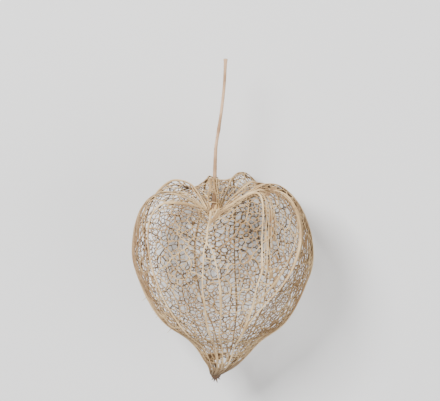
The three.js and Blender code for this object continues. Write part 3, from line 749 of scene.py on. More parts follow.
@dataclass
class NetVeins:
    """The net as one mesh: each vein is a slim bar with a ridge outside and one inside."""

    net: VeinNet
    filled: list[tuple[list[Vector], Vector]] = field(default_factory=list)
    # The least and the most width of a vein, as shares of the usual one, and its growth near the seat
    width_spread: tuple[float, float] = (0.75, 1.3)
    seat_growth: float = 1.1
    seat_reach: float = 5.0
    # The cells that kept their husk: their most corners, the share of them that is torn, how far the husk
    # reaches under the veins, and their share in each weathered zone, which is given by its azimuths and
    # its shares of the length
    largest_filled: int = 7
    torn_share: float = 0.4
    overlap: float = 1.04
    husk_zones: tuple[tuple[float, float, float, float, float], ...] = (
        (258, 288, 0.32, 0.7, 0.12),
        (34, 46, 0.18, 0.3, 0.4),
        (27, 38, 0.25, 0.52, 0.35),
        (66, 84, 0.4, 0.6, 0.04),
        (60, 100, 0.12, 0.3, 0.1),
        (14, 70, 0.8, 0.93, 0.35),
        (0, 360, 0.93, 1.0, 0.7),
        (0, 360, 0.0, 0.05, 0.6),
        (0, 360, 0.05, 0.1, 0.25),
        (0, 360, 0.0, 1.0, 0.003),
    )

    def build(self) -> bpy.types.Object:
        """Cut the cells open and give the veins that are left their ridges.

        Returns:
            The object that holds the net.
        """
        mesh = self.net.mesh
        self._open_cells(mesh)
        self._raise_ridges(mesh)
        return make_piece("vein_net", mesh)

    def remnants(self) -> bpy.types.Object:
        """Return the scraps of husk that still fill a few cells, after the net is built.

        Returns:
            One object for all scraps.
        """
        mesh = bmesh.new()
        draw = random.Random(17)
        for points, outward in self.filled:
            middle = sum(points, Vector()) / len(points)
            rim = [mesh.verts.new(middle + (point - middle) * self.overlap) for point in points]
            centre = mesh.verts.new(middle - outward * draw.uniform(0.02, 0.08))
            torn = draw.random() < self.torn_share
            for i, vert in enumerate(rim):
                if torn and i in (0, 1):
                    continue
                mesh.faces.new((vert, rim[(i + 1) % len(rim)], centre))
        piece = make_piece("husk_remnants", mesh)
        thicken(piece, FILM)
        return piece

    def _is_filled(self, azimuth: float, share: float, chance: float) -> bool:
        """Say whether a cell kept its husk, more likely in the weathered zones.

        Args:
            azimuth: The azimuth of the cell.
            share: Its share of the length.
            chance: Its draw, from 0 to 1.

        Returns:
            Whether it is filled.
        """
        turned = azimuth % 360
        return any(start <= turned <= end and low <= share <= high and chance < limit
                   for start, end, low, high, limit in self.husk_zones)

    def _open_cells(self, mesh: bmesh.types.BMesh) -> None:
        """Inset each cell by the half width of the veins round it and take its middle out.

        Args:
            mesh: The mesh of the net.
        """
        rank = mesh.edges.layers.int["rank"]
        outward = mesh.verts.layers.float_vector["outward"]
        strength = mesh.verts.layers.float.new("strength")
        azimuth, share = (mesh.faces.layers.float[name] for name in ("azimuth", "share"))
        draw = random.Random(91)
        width = {edge: self._half_width(edge, Rank(edge[rank]), draw) for edge in mesh.edges}
        ridge = mesh.verts.layers.int.new("ridge")
        for vert in mesh.verts:
            vert[strength] = max((edge[rank] for edge in vert.link_edges), default=0) / Rank.RIB.value
            vert[ridge] = 1
        cells = list(mesh.faces)
        targets = [self._opening(cell, width, outward) for cell in cells]
        kept = [[(loop.vert[strength], loop.vert[outward].copy()) for loop in cell.loops] for cell in cells]
        bmesh.ops.inset_individual(mesh, faces=cells, thickness=0.001, use_even_offset=False)
        for cell, points, values in zip(cells, targets, kept):
            for loop, point, (power, normal) in zip(cell.loops, points, values):
                loop.vert.co = point
                loop.vert[strength] = power
                loop.vert[outward] = normal
                loop.vert[ridge] = 0
            filled = self._is_filled(cell[azimuth], cell[share], draw.random())
            if filled and len(points) <= self.largest_filled:
                self.filled.append((points, sum((normal for _, normal in values), Vector()).normalized()))
        bmesh.ops.delete(mesh, geom=cells, context="FACES_ONLY")

    def _half_width(self, edge: bmesh.types.BMEdge, rank: Rank, draw: random.Random) -> float:
        """Return half the width of a vein, which varies a little and is more at the seat.

        Args:
            edge: The vein's edge in the mesh of the net.
            rank: Its rank.
            draw: The source of the random draws.

        Returns:
            Half the width in millimetres.
        """
        to_seat = min(math.hypot(vert.co.x, vert.co.z) + abs(vert.co.y) for vert in edge.verts)
        growth = 1 + self.seat_growth * math.exp(-to_seat / self.seat_reach)
        return VEIN_SIZES[rank].half_width * draw.uniform(*self.width_spread) * growth

    @staticmethod
    def _opening(cell: bmesh.types.BMFace, width: dict, outward: bmesh.types.BMLayerItem) -> list[Vector]:
        """Return the corners of a cell's opening, set in from its border by the veins' half widths.

        Args:
            cell: The cell.
            width: Half the width of each vein.
            outward: The layer with the wall's normals.

        Returns:
            One point for each corner of the cell.
        """
        points = []
        for loop in cell.loops:
            normal = loop.vert[outward]
            before, after = loop.link_loop_prev, loop.link_loop_next
            come = loop.vert.co - before.vert.co
            leave = after.vert.co - loop.vert.co
            first = normal.cross(come - normal * come.dot(normal)).normalized()
            second = normal.cross(leave - normal * leave.dot(normal)).normalized()
            blunt = 1 + max(first.dot(second), -0.3)
            inset = (first * width[before.edge] + second * width[loop.edge]) / blunt
            points.append(loop.vert.co + inset)
        return points

    @staticmethod
    def _raise_ridges(mesh: bmesh.types.BMesh) -> None:
        """Give each vein its inner half, lift the two ridges apart and close the rims of seat and tip.

        Args:
            mesh: The mesh of the net, with its cells open.
        """
        outward = mesh.verts.layers.float_vector["outward"]
        strength = mesh.verts.layers.float["strength"]
        ridge = mesh.verts.layers.int["ridge"]
        rims = [edge.link_loops[0] for edge in mesh.edges
                if edge.is_boundary and all(vert[ridge] for vert in edge.verts)]
        rims = [(loop.vert, loop.link_loop_next.vert) for loop in rims]
        middles = list(mesh.verts)
        copy = bmesh.ops.duplicate(mesh, geom=list(mesh.faces) + list(mesh.edges) + middles)
        under = copy["vert_map"]
        faces = [item for item in copy["geom"] if isinstance(item, bmesh.types.BMFace)]
        bmesh.ops.reverse_faces(mesh, faces=faces)
        for start, end in rims:
            mesh.faces.new((end, start, under[start], under[end]))
        welds = {}
        for vert in middles:
            if not vert[ridge]:
                welds[under[vert]] = vert
                continue
            height = NetVeins._half_thickness(vert[strength])
            vert.co += vert[outward] * height
            under[vert].co -= vert[outward] * height
        bmesh.ops.weld_verts(mesh, targetmap=welds)

    @staticmethod
    def _half_thickness(strength: float) -> float:
        """Return half the thickness of a vein of a strength between 0 and 1."""
        values = [VEIN_SIZES[rank].half_thickness for rank in Rank]
        return float(np.interp(strength * Rank.RIB.value, [rank.value for rank in Rank], values))


def make_piece(name: str, mesh: bmesh.types.BMesh) -> bpy.types.Object:
    """Turn a mesh made in the lantern's own millimetres into an object in the frame.

    Args:
        name: The name of the piece.
        mesh: Its mesh, which is used up.

    Returns:
        The object, at the origin, with its place in its mesh.
    """
    bmesh.ops.translate(mesh, verts=list(mesh.verts), vec=Vector(SEAT_PLACE))
    for vert in mesh.verts:
        vert.co.z = max(vert.co.z, 0.0)
    bmesh.ops.scale(mesh, verts=list(mesh.verts), vec=(MM, MM, MM))
    for face in mesh.faces:
        face.smooth = True
    data = bpy.data.meshes.new(name)
    mesh.to_mesh(data)
    mesh.free()
    piece = bpy.data.objects.new(name, data)
    bpy.context.collection.objects.link(piece)
    log.info("%s: %d faces", name, len(data.polygons))
    return piece


def thicken(piece: bpy.types.Object, thickness: float, offset: float = 0.0) -> None:
    """Give a sheet its thickness.

    Args:
        piece: The sheet.
        thickness: The thickness in millimetres.
        offset: The side it grows to: 0 for both, -1 for the inner one.
    """
    shell = piece.modifiers.new("thickness", "SOLIDIFY")
    shell.thickness = thickness * MM
    shell.offset = offset


def round_off(piece: bpy.types.Object) -> None:
    """Round a piece off by one subdivision.

    Args:
        piece: The piece.
    """
    rounding = piece.modifiers.new("rounding", "SUBSURF")
    rounding.levels = rounding.render_levels = 1


def make_tube(points: np.ndarray, radii: np.ndarray, sides: int,
              normals: np.ndarray | None = None, strength: float = 1.0) -> bmesh.types.BMesh:
    """Sweep a ring along a line.

    Args:
        points: The line's points, in millimetres.
        radii: The radius at each point.
        sides: Sides of the ring.
        normals: The wall's outward normal at each point, where the tube lies in the wall.
        strength: How strong a vein it is, from 0 to 1, kept for its finish.

    Returns:
        A closed tube.
    """
    mesh = bmesh.new()
    power = mesh.verts.layers.float.new("strength")
    outward = mesh.verts.layers.float_vector.new("outward")
    tangents = np.gradient(points, axis=0)
    rings = []
    side, up = Vector((1.0, 0.0, 0.0)), Vector((0.0, 0.0, 1.0))
    for index, (point, tangent, radius) in enumerate(zip(points, tangents, radii)):
        forward = Vector(tangent).normalized()
        side = forward.cross(up).normalized() if abs(forward.dot(up)) < 0.995 else side
        up = side.cross(forward).normalized()
        ring = bmesh.ops.create_circle(mesh, segments=sides, radius=float(radius))["verts"]
        for vert in ring:
            x, y = vert.co.x, vert.co.y
            vert.co = Vector(point) + side * x + up * y
            vert[power] = strength
            if normals is not None:
                vert[outward] = Vector(normals[index])
        rings.append(ring)
    for low, high in zip(rings, rings[1:]):
        edges = [edge for ring in (low, high) for vert in ring for edge in vert.link_edges]
        bmesh.ops.bridge_loops(mesh, edges=[e for e in set(edges) if all(v in low for v in e.verts)
                                            or all(v in high for v in e.verts)])
    for ring in (rings[0], rings[-1]):
        bmesh.ops.contextual_create(mesh, geom=ring)
    bmesh.ops.recalc_face_normals(mesh, faces=list(mesh.faces))
    return mesh


def join_tube(mesh: bmesh.types.BMesh, tube: bmesh.types.BMesh) -> None:
    """Add a tube to a mesh; the tube is used up.

    Args:
        mesh: The mesh that takes it.
        tube: The tube, which is used up.
    """
    data = bpy.data.meshes.new("strand")
    tube.to_mesh(data)
    tube.free()
    mesh.from_mesh(data)
    bpy.data.meshes.remove(data)


@dataclass(frozen=True)
class RibCord:
    """The cord of one rib: which rib it runs on, its radius along the way and the stretch it covers."""

    rib: int
    radii: tuple[float, ...]
    first: float = 0.0
    last: float = 1.0


@dataclass(frozen=True)
class Strand:
    """A fine cord beside a rib: the rib, its radius, and its distance from the rib along the way."""

    rib: int
    radius: float
    shares: tuple[float, ...]
    gaps: tuple[float, ...]


@dataclass(frozen=True)
class Ray:
    """A vein that runs straight out from the seat: its azimuth, where it ends and its radius."""

    azimuth: float
    last: float
    radius: float = 0.15


@dataclass
class RibCords:
    """The ribs themselves, as round cords from the seat to the tip, with the fine strands beside them."""

    wall: LanternWall
    places: tuple[float, ...] = (0.0, 0.15, 0.36, 0.44, 0.7, 1.0)
    cords: tuple[RibCord, ...] = (
        RibCord(0, (0.29, 0.26, 0.235, 0.22, 0.2, 0.12)),
        RibCord(1, (0.15, 0.13, 0.17, 0.16, 0.14, 0.09), first=0.34),
        RibCord(2, (0.28, 0.26, 0.19, 0.16, 0.15, 0.1)),
        RibCord(3, (0.4, 0.3, 0.15, 0.2, 0.22, 0.14)),
        RibCord(4, (0.26, 0.24, 0.27, 0.24, 0.19, 0.15), last=0.76),
        RibCord(5, (0.2, 0.18, 0.15, 0.15, 0.17, 0.12)),
        RibCord(6, (0.21, 0.22, 0.225, 0.22, 0.2, 0.13)),
        RibCord(7, (0.22, 0.22, 0.2, 0.19, 0.18, 0.13)),
        RibCord(8, (0.22, 0.2, 0.16, 0.15, 0.15, 0.12)),
        RibCord(9, (0.22, 0.22, 0.2, 0.19, 0.18, 0.13)),
        RibCord(10, (0.22, 0.24, 0.25, 0.24, 0.22, 0.14)),
        RibCord(11, (0.24, 0.2, 0.15, 0.16, 0.2, 0.14)),
    )
    strands: tuple[Strand, ...] = (
        Strand(3, 0.11, (0.17, 0.22, 0.3, 0.42, 0.5), (0.0, 1.0, 1.15, 0.7, 0.0)),
        Strand(3, 0.13, (0.01, 0.06, 0.14, 0.2), (-0.2, -0.75, -0.8, 0.0)),
        Strand(3, 0.12, (0.01, 0.05, 0.12, 0.17), (-0.3, -1.3, -1.7, -1.6)),
        Strand(3, 0.11, (0.2, 0.28, 0.36, 0.45), (0.6, 1.8, 1.9, 1.1)),
        Strand(3, 0.1, (0.19, 0.26, 0.34, 0.4), (0.8, 2.5, 2.9, 2.7)),
        Strand(3, 0.1, (0.2, 0.27, 0.33, 0.37), (1.4, 3.4, 4.2, 4.4)),
        Strand(3, 0.1, (0.3, 0.36, 0.44, 0.56), (0.3, 1.4, 1.5, 0.5)),
        Strand(3, 0.09, (0.34, 0.4, 0.46, 0.5), (0.4, 2.1, 2.5, 2.6)),
        Strand(4, 0.17, (0.16, 0.24, 0.36, 0.5), (0.0, 0.75, 0.65, 0.0)),
        Strand(4, 0.15, (0.2, 0.28, 0.4, 0.55), (0.0, -0.6, -0.5, 0.0)),
        Strand(4, 0.12, (0.26, 0.32, 0.4, 0.48), (0.3, 1.5, 1.4, 0.4)),
        Strand(4, 0.14, (0.3, 0.36, 0.42, 0.5, 0.58, 0.64), (-0.2, -1.6, -2.6, -3.4, -3.2, -2.6)),
        Strand(4, 0.12, (0.47, 0.53, 0.6, 0.66, 0.7), (-2.9, -2.9, -2.4, -1.9, -1.4)),
        Strand(11, 0.11, (0.44, 0.5, 0.58, 0.68), (0.0, 0.6, 0.7, 0.0)),
        Strand(11, 0.11, (0.46, 0.52, 0.6, 0.7), (0.2, 1.5, 1.7, 0.3)),
        Strand(11, 0.11, (0.48, 0.54, 0.62, 0.72), (0.3, 2.6, 2.7, 0.6)),
        Strand(0, 0.12, (0.02, 0.08, 0.16, 0.22), (0.0, 0.7, 0.8, 0.0)),
        Strand(0, 0.11, (0.02, 0.06, 0.12, 0.2), (-0.1, -0.8, -1.0, -0.3)),
        Strand(2, 0.1, (0.02, 0.06, 0.12, 0.18), (0.1, 0.6, 0.9, 0.0)),
    )
    rays: tuple[Ray, ...] = (
        Ray(-4, 0.13, 0.2),
        Ray(10, 0.16, 0.15),
        Ray(24, 0.12, 0.13),
        Ray(47, 0.18),
        Ray(58, 0.14),
        Ray(78, 0.17),
        Ray(100, 0.15),
        Ray(110, 0.19),
        Ray(129, 0.16),
        Ray(139, 0.12),
        Ray(156, 0.17),
        Ray(173, 0.13, 0.17),
        Ray(185, 0.18),
        Ray(208, 0.15),
        Ray(222, 0.17),
        Ray(246, 0.13),
        Ray(256, 0.16),
        Ray(277, 0.14),
        Ray(290, 0.18, 0.17),
        Ray(312, 0.15),
        Ray(324, 0.12),
    )
    # The short strands drawn beside each rib: their number, radius, lengths, and gaps in radii of the rib
    strands_each: int = 5
    strand_radius: float = 0.1
    strand_length: tuple[float, float] = (0.12, 0.25)
    strand_gap: tuple[float, float] = (0.95, 1.7)
    # The fibres that run into the tip: their number, the shares they start at and their radii
    tip_fibres: int = 34
    tip_start: tuple[float, float] = (0.76, 0.9)
    tip_radius: tuple[float, float] = (0.06, 0.1)
    # The broken fibres on the weathered flank: their number and where they stand
    frays: int = 46
    fray_azimuth: tuple[float, float] = (254, 288)
    fray_share: tuple[float, float] = (0.55, 0.76)
    # A fine cord above this radius counts as a broader one
    broad_radius: float = 0.145
    strand_steps: int = 26
    sides: int = 10
    steps: int = 90

    def build(self) -> list[bpy.types.Object]:
        """Return an object for each rib and one for all fine strands.

        Returns:
            The cords, the strands and the frayed fibres.
        """
        pieces = [self._cord(cord) for cord in self.cords]
        strands = bmesh.new()
        for strand in self.strands + self._fibres():
            self._add_strand(strands, strand)
        draw = random.Random(43)
        for ray in self.rays:
            share = np.linspace(0.0, ray.last, self.strand_steps)
            bend = draw.uniform(-7, 7) * (share / ray.last) ** 2 + 1.2 * np.sin(share * 60 + ray.azimuth)
            self._add_line(strands, ray.azimuth + bend, share, ray.radius)
        for _ in range(self.tip_fibres):
            share = np.linspace(draw.uniform(*self.tip_start), 0.998, self.strand_steps)
            sway = draw.uniform(2, 7) * np.sin((share - share[0]) * draw.uniform(15, 40))
            self._add_line(strands, draw.uniform(0, 360) + sway, share, draw.uniform(*self.tip_radius))
        pieces.append(make_piece("rib_strands", strands))
        pieces.append(self._frays())
        return pieces

    def _frays(self) -> bpy.types.Object:
        """Return the short broken fibres that stand off the weathered flank.

        Returns:
            One object for all of them.
        """
        draw = random.Random(83)
        mesh = bmesh.new()
        for _ in range(self.frays):
            azimuth = np.array([draw.uniform(*self.fray_azimuth)])
            share = np.array([draw.uniform(*self.fray_share)])
            root, normal = self.wall.points(azimuth, share)[0], self.wall.normals(azimuth, share)[0]
            lean = np.array([draw.uniform(-0.8, 0.8) for _ in range(3)])
            curl = np.array([draw.uniform(-0.7, 0.7) for _ in range(3)])
            run = np.linspace(0, draw.uniform(0.5, 1.1), 9)[:, None]
            points = root + normal * (run * 0.6 - 0.05) + lean * run * 0.8 + curl * run**2 * 0.6
            radii = np.linspace(0.08, 0.03, len(run))
            join_tube(mesh, make_tube(points, radii, 4, np.repeat(normal[None], len(run), axis=0), 0.3))
        return make_piece("frays", mesh)

    def _cord(self, cord: RibCord) -> bpy.types.Object:
        """Sweep one cord along its rib, a little uneven.

        Args:
            cord: The cord.

        Returns:
            Its object.
        """
        share = np.linspace(cord.first, cord.last, int(self.steps * (cord.last - cord.first)) + 2)
        radii = smooth_curve(self.places, cord.radii, share)
        radii = radii * (1 + 0.1 * np.sin(share * 61 + cord.rib) * np.sin(share * 23 + 2 * cord.rib))
        azimuth = self.wall.rib_azimuth(cord.rib, share)
        normals = self.wall.normals(azimuth, share)
        points = self.wall.points(azimuth, share) + normals * radii[:, None] * 0.3
        return make_piece(f"rib_{cord.rib + 1:02d}", make_tube(points, radii, self.sides, normals))

    def _fibres(self) -> tuple[Strand, ...]:
        """Draw short strands that leave each rib and come back to it.

        Returns:
            The strands drawn.
        """
        draw = random.Random(29)
        fibres = []
        for cord in self.cords:
            for _ in range(self.strands_each):
                first = draw.uniform(cord.first, cord.last - self.strand_length[1])
                length = draw.uniform(*self.strand_length)
                gap = draw.choice((-1, 1)) * draw.uniform(*self.strand_gap) * cord.radii[3]
                shares = tuple(first + length * part for part in (0, 0.3, 0.7, 1))
                fibres.append(Strand(cord.rib, self.strand_radius, shares, (0.0, gap, gap * 0.8, 0.0)))
        return tuple(fibres)

    def _add_strand(self, mesh: bmesh.types.BMesh, strand: Strand) -> None:
        """Add one strand to a mesh of strands.

        Args:
            mesh: The mesh of strands.
            strand: The strand.
        """
        share = np.linspace(strand.shares[0], strand.shares[-1], self.strand_steps)
        gap = smooth_curve(strand.shares, strand.gaps, share)
        azimuth = self.wall.rib_azimuth(strand.rib, share)
        azimuth = azimuth + np.degrees(gap / self.wall.meridian.radius(share))
        self._add_line(mesh, azimuth, share, strand.radius)

    def _add_line(self, mesh: bmesh.types.BMesh, azimuth: np.ndarray, share: np.ndarray,
                  radius: float) -> None:
        """Add a fine cord along given places of the wall.

        Args:
            mesh: The mesh of strands.
            azimuth: The azimuths along the cord.
            share: Its shares of the meridian.
            radius: Its radius, less at both ends; the finest are also deeper in colour.
        """
        normals = self.wall.normals(azimuth, share)
        points = self.wall.points(azimuth, share) + normals * radius * 0.4
        radii = radius * smooth_curve((0, 0.15, 0.85, 1), (0.55, 1, 1, 0.55), np.linspace(0, 1, len(share)))
        tone = BROAD_TONE if radius > self.broad_radius else FINE_TONE
        join_tube(mesh, make_tube(points, radii, STRAND_SIDES, normals, tone))


@dataclass
class Seat:
    """The sunken seat of the stalk: a small solid cone where all ribs meet."""

    wall: LanternWall
    rim_radius: float = 2.5
    thickness: float = 0.3
    # The rings of the cone: how far in and how far up each one goes
    rings: tuple[tuple[float, float], ...] = ((0.5, 0.15), (0.5, 0.35), (0.4, 0.6), (0.3, 0.8), (0.14, 0.8))
    # The lobes that run out along the ribs: their width in radians, their rise and their reach
    lobe_width: float = 0.16
    lobe_rise: float = 0.35
    lobe_reach: float = 0.16

    def build(self) -> bpy.types.Object:
        """Raise a lobed disc towards the stalk.

        Returns:
            The object of the seat.
        """
        mesh = bmesh.new()
        bmesh.ops.create_circle(mesh, cap_ends=True, segments=60, radius=self.rim_radius)
        top = list(mesh.faces)
        for inset, lift in self.rings:
            bmesh.ops.inset_individual(mesh, faces=top, thickness=inset, depth=lift, use_even_offset=True)
        ribs = [math.radians(float(self.wall.rib_azimuth(rib, 0.0))) for rib in range(self.wall.count)]
        for vert in mesh.verts:
            radius = math.hypot(vert.co.x, vert.co.y)
            angle = math.atan2(vert.co.x, vert.co.y)
            near = min(abs(math.remainder(angle - rib, 2 * math.pi)) for rib in ribs)
            lobe = math.exp(-((near / self.lobe_width) ** 2)) * min(1.0, radius / self.rim_radius)
            vert.co.z += self.lobe_rise * lobe
            vert.co.x *= 1 + self.lobe_reach * lobe
            vert.co.y *= 1 + self.lobe_reach * lobe
        for vert in mesh.verts:
            x, y, z = vert.co
            vert.co = Vector((x + float(self.wall.OFFSETS[0]), z - 0.15, y))
        bmesh.ops.recalc_face_normals(mesh, faces=list(mesh.faces))
        if sum(face.normal.y for face in mesh.faces) < 0:
            bmesh.ops.reverse_faces(mesh, faces=list(mesh.faces))
        piece = make_piece("seat", mesh)
        thicken(piece, self.thickness, -1.0)
        round_off(piece)
        return piece


@dataclass(frozen=True)
class Upright:
    """A vein that climbs the sleeve: its azimuth at the sleeve's four levels and its radius."""

    azimuth: tuple[float, float, float, float]
    radius: float = 0.12


@dataclass
class FootSleeve:
    """The sleeve round the foot of the stalk: upright veins, hoops, cross veins and a scrap of brown husk."""

    centre_x: float = -2.15
    # The radius of the sleeve at each height, and the levels at which the uprights' azimuths are given
    heights: tuple[float, ...] = (0.5, 1.4, 2.8, 4.2, 5.6, 7.4, 9.4)
    radii: tuple[float, ...] = (2.0, 1.55, 1.3, 1.42, 1.28, 1.08, 1.18)
    levels: tuple[float, ...] = (0.5, 2.8, 5.6, 9.1)
    uprights: tuple[Upright, ...] = (
        Upright((-82, -80, -70, -58), 0.14),
        Upright((-44, -62, -42, -30), 0.09),
        Upright((10, 42, 24, 6), 0.11),
        Upright((56, 68, 56, 40)),
        Upright((100, 98, 94, 82)),
        Upright((150, 142, 150, 140)),
        Upright((202, 192, 204, 196)),
        Upright((248, 244, 240, 250)),
    )
    # The fine veins that tie the rim to the far wall: the azimuth each starts at and the point it ends at
    stays: tuple[tuple[float, tuple[float, float, float]], ...] = (
        (64.0, (1.71, 5.66, -11.49)),
        (-70.0, (-3.3, 5.92, -16.0)),
    )
    # The height and radius of each hoop, and the heights that the cross veins start near
    hoops: tuple[tuple[float, float], ...] = ((2.8, 0.12), (5.6, 0.09))
    cross_heights: tuple[float, ...] = (3.6, 4.5, 6.3, 7.1, 7.9)
    # The rim: its radius, its height, how much that slants and how ragged it is
    rim_radius: float = 0.11
    rim_height: float = 9.0
    rim_slant: float = 0.22
    rim_rag: float = 0.12
    # The scrap of husk: its azimuths and heights, its slit across and along the axis, and the share of holes
    husk_azimuth: tuple[float, float] = (-98.0, 52.0)
    husk_height: tuple[float, float] = (5.7, 8.9)
    slit_across: tuple[float, float] = (-0.45, -0.1)
    slit_height: tuple[float, float] = (6.9, 8.2)
    holes: float = 0.07
    steps: int = 28

    def build(self) -> bpy.types.Object:
        """Return the veins of the sleeve as one object.

        Returns:
            The object of the veins.
        """
        mesh = bmesh.new()
        height = np.linspace(self.levels[0], self._rim(0.0), self.steps)
        for upright in self.uprights:
            self._vein(mesh, smooth_curve(self.levels, upright.azimuth, height), height, upright.radius)
        turn = np.linspace(0, 364, 60)
        for level, radius in self.hoops:
            wave = level + 0.22 * np.sin(np.radians(2 * turn + 40 * level))
            self._vein(mesh, turn, wave, radius)
        self._vein(mesh, turn, self._rim(turn), self.rim_radius)
        self._cross_veins(mesh)
        for azimuth, end in self.stays:
            start = self._places(np.array([azimuth]), np.array([self._rim(azimuth)]))[0]
            run = np.linspace(0, 1, self.steps)[:, None]
            points = start + (np.array(end) - start) * run
            points[:, 1] -= 0.5 * np.sin(math.pi * run[:, 0])
            normals = np.tile((0.0, 0.0, 1.0), (self.steps, 1))
            radii = np.full(self.steps, self.rim_radius)
            join_tube(mesh, make_tube(points, radii, STRAND_SIDES, normals))
        return make_piece("foot_sleeve", mesh)

    def husk(self) -> bpy.types.Object:
        """Return the scrap of husk that still hangs in the sleeve, torn along its slit and its edges.

        Returns:
            The object of the scrap.
        """
        mesh = bmesh.new()
        bmesh.ops.create_grid(mesh, x_segments=14, y_segments=9, size=0.5)
        draw = random.Random(61)
        for vert in mesh.verts:
            across, up = vert.co.x + 0.5, vert.co.y + 0.5
            azimuth = np.interp(across, (0, 1), self.husk_azimuth) + draw.uniform(-3, 3)
            top = min(self._rim(azimuth), self.husk_height[1])
            height = np.interp(up, (0, 1), (self.husk_height[0], top)) + draw.uniform(-0.12, 0.12)
            inward = draw.uniform(0.03, 0.12)
            vert.co = Vector(self._places(np.array([azimuth]), np.array([height]), -inward)[0])
        torn = []
        for face in mesh.faces:
            middle = face.calc_center_median()
            across = self.slit_across[0] < middle.x - self.centre_x < self.slit_across[1]
            in_slit = across and self.slit_height[0] < middle.y < self.slit_height[1]
            if in_slit or draw.random() < self.holes:
                torn.append(face)
        bmesh.ops.delete(mesh, geom=torn, context="FACES")
        piece = make_piece("sleeve_husk", mesh)
        thicken(piece, FILM)
        return piece

    def _rim(self, azimuth: np.ndarray) -> np.ndarray:
        """Return the height of the rim, which is higher on one side and ragged."""
        turn = np.radians(azimuth)
        return self.rim_height - self.rim_slant * np.sin(turn) + self.rim_rag * np.sin(3 * turn + 1)

    def _places(self, azimuth: np.ndarray, height: np.ndarray, lift: float = 0.0) -> np.ndarray:
        """Return the points of the sleeve.

        Args:
            azimuth: Azimuths in degrees.
            height: Places along the axis.
            lift: How far outside the sleeve they lie.

        Returns:
            One point for each azimuth and height.
        """
        turn = np.radians(azimuth)
        radius = smooth_curve(self.heights, self.radii, height) + lift
        return np.stack((self.centre_x + radius * np.sin(turn), height, radius * np.cos(turn)), axis=-1)

    def _vein(self, mesh: bmesh.types.BMesh, azimuth: np.ndarray, height: np.ndarray, radius: float) -> None:
        """Add a vein along the sleeve.

        Args:
            mesh: The mesh of the sleeve.
            azimuth: Azimuths along the vein.
            height: Places along the axis.
            radius: Its radius; the finest are deeper in colour.
        """
        turn = np.radians(azimuth)
        normals = np.stack((np.sin(turn), np.zeros_like(turn), np.cos(turn)), axis=-1)
        radii = radius * (1 + 0.15 * np.sin(np.linspace(0, 17, len(turn)) + radius * 90))
        tone = BROAD_TONE if radius > self.rim_radius else FINE_TONE
        join_tube(mesh, make_tube(self._places(azimuth, height), radii, STRAND_SIDES, normals, tone))

    def _cross_veins(self, mesh: bmesh.types.BMesh) -> None:
        """Add slanted veins between neighbouring uprights, but leave the opening in front free.

        Args:
            mesh: The mesh of the sleeve.
        """
        draw = random.Random(37)
        count = len(self.uprights)
        for index in range(count):
            first, second = self.uprights[index].azimuth, self.uprights[(index + 1) % count].azimuth
            for base in self.cross_heights:
                if index == 1 and base < self.levels[2]:
                    continue
                height = np.linspace(base + draw.uniform(-0.35, 0.35), base + draw.uniform(-0.35, 0.35), 9)
                start = float(smooth_curve(self.levels, first, height[:1])[0])
                end = float(smooth_curve(self.levels, second, height[-1:])[0])
                end += 360 if end < start else 0
                self._vein(mesh, np.linspace(start, end, 9), height, draw.uniform(0.06, 0.09))


@dataclass
class Stalk:
    """The stalk: swollen at its foot, at its joint and at the scar where it came away."""

    route: tuple[tuple[float, float, float], ...] = (
        (-1.8, 0.9, 0.0),
        (-1.85, 4.6, 0.05),
        (-1.8, 9.2, 0.1),
        (-1.6, 15.9, 0.15),
        (-0.8, 21.6, 0.1),
        (0.0, 27.1, -0.1),
        (0.6, 33.0, -0.3),
        (0.9, 38.9, -0.5),
    )
    places: tuple[float, ...] = (0.9, 2.6, 6.0, 12.0, 19.5, 21.3, 23.0, 33.0, 37.4, 38.4, 38.9)
    radii: tuple[float, ...] = (0.9, 0.66, 0.52, 0.46, 0.385, 0.45, 0.385, 0.365, 0.4, 0.48, 0.5)
    steps: int = 150
    sides: int = 30
    grooves: int = 5
    groove_depth: float = 0.05
    twist: float = 0.15

    def build(self) -> bpy.types.Object:
        """Sweep the stalk along its route, with shallow grooves.

        Returns:
            The object of the stalk.
        """
        route = np.array(self.route)
        y = np.linspace(route[0, 1], route[-1, 1], self.steps)
        points = np.stack((smooth_curve(route[:, 1], route[:, 0], y), y,
                           smooth_curve(route[:, 1], route[:, 2], y)), axis=-1)
        radii = smooth_curve(self.places, self.radii, y)
        radii = radii * (1 + 0.035 * np.sin(y * 2.1) * np.sin(y * 5.3 + 1))
        mesh = make_tube(points, radii, self.sides)
        for index, vert in enumerate(mesh.verts):
            middle = Vector(points[index // self.sides])
            turn = self.grooves * 2 * math.pi * (index % self.sides) / self.sides
            groove = 1 + self.groove_depth * math.sin(turn + self.twist * vert.co.y)
            vert.co = middle + (vert.co - middle) * groove
        return make_piece("stalk_cord", mesh)


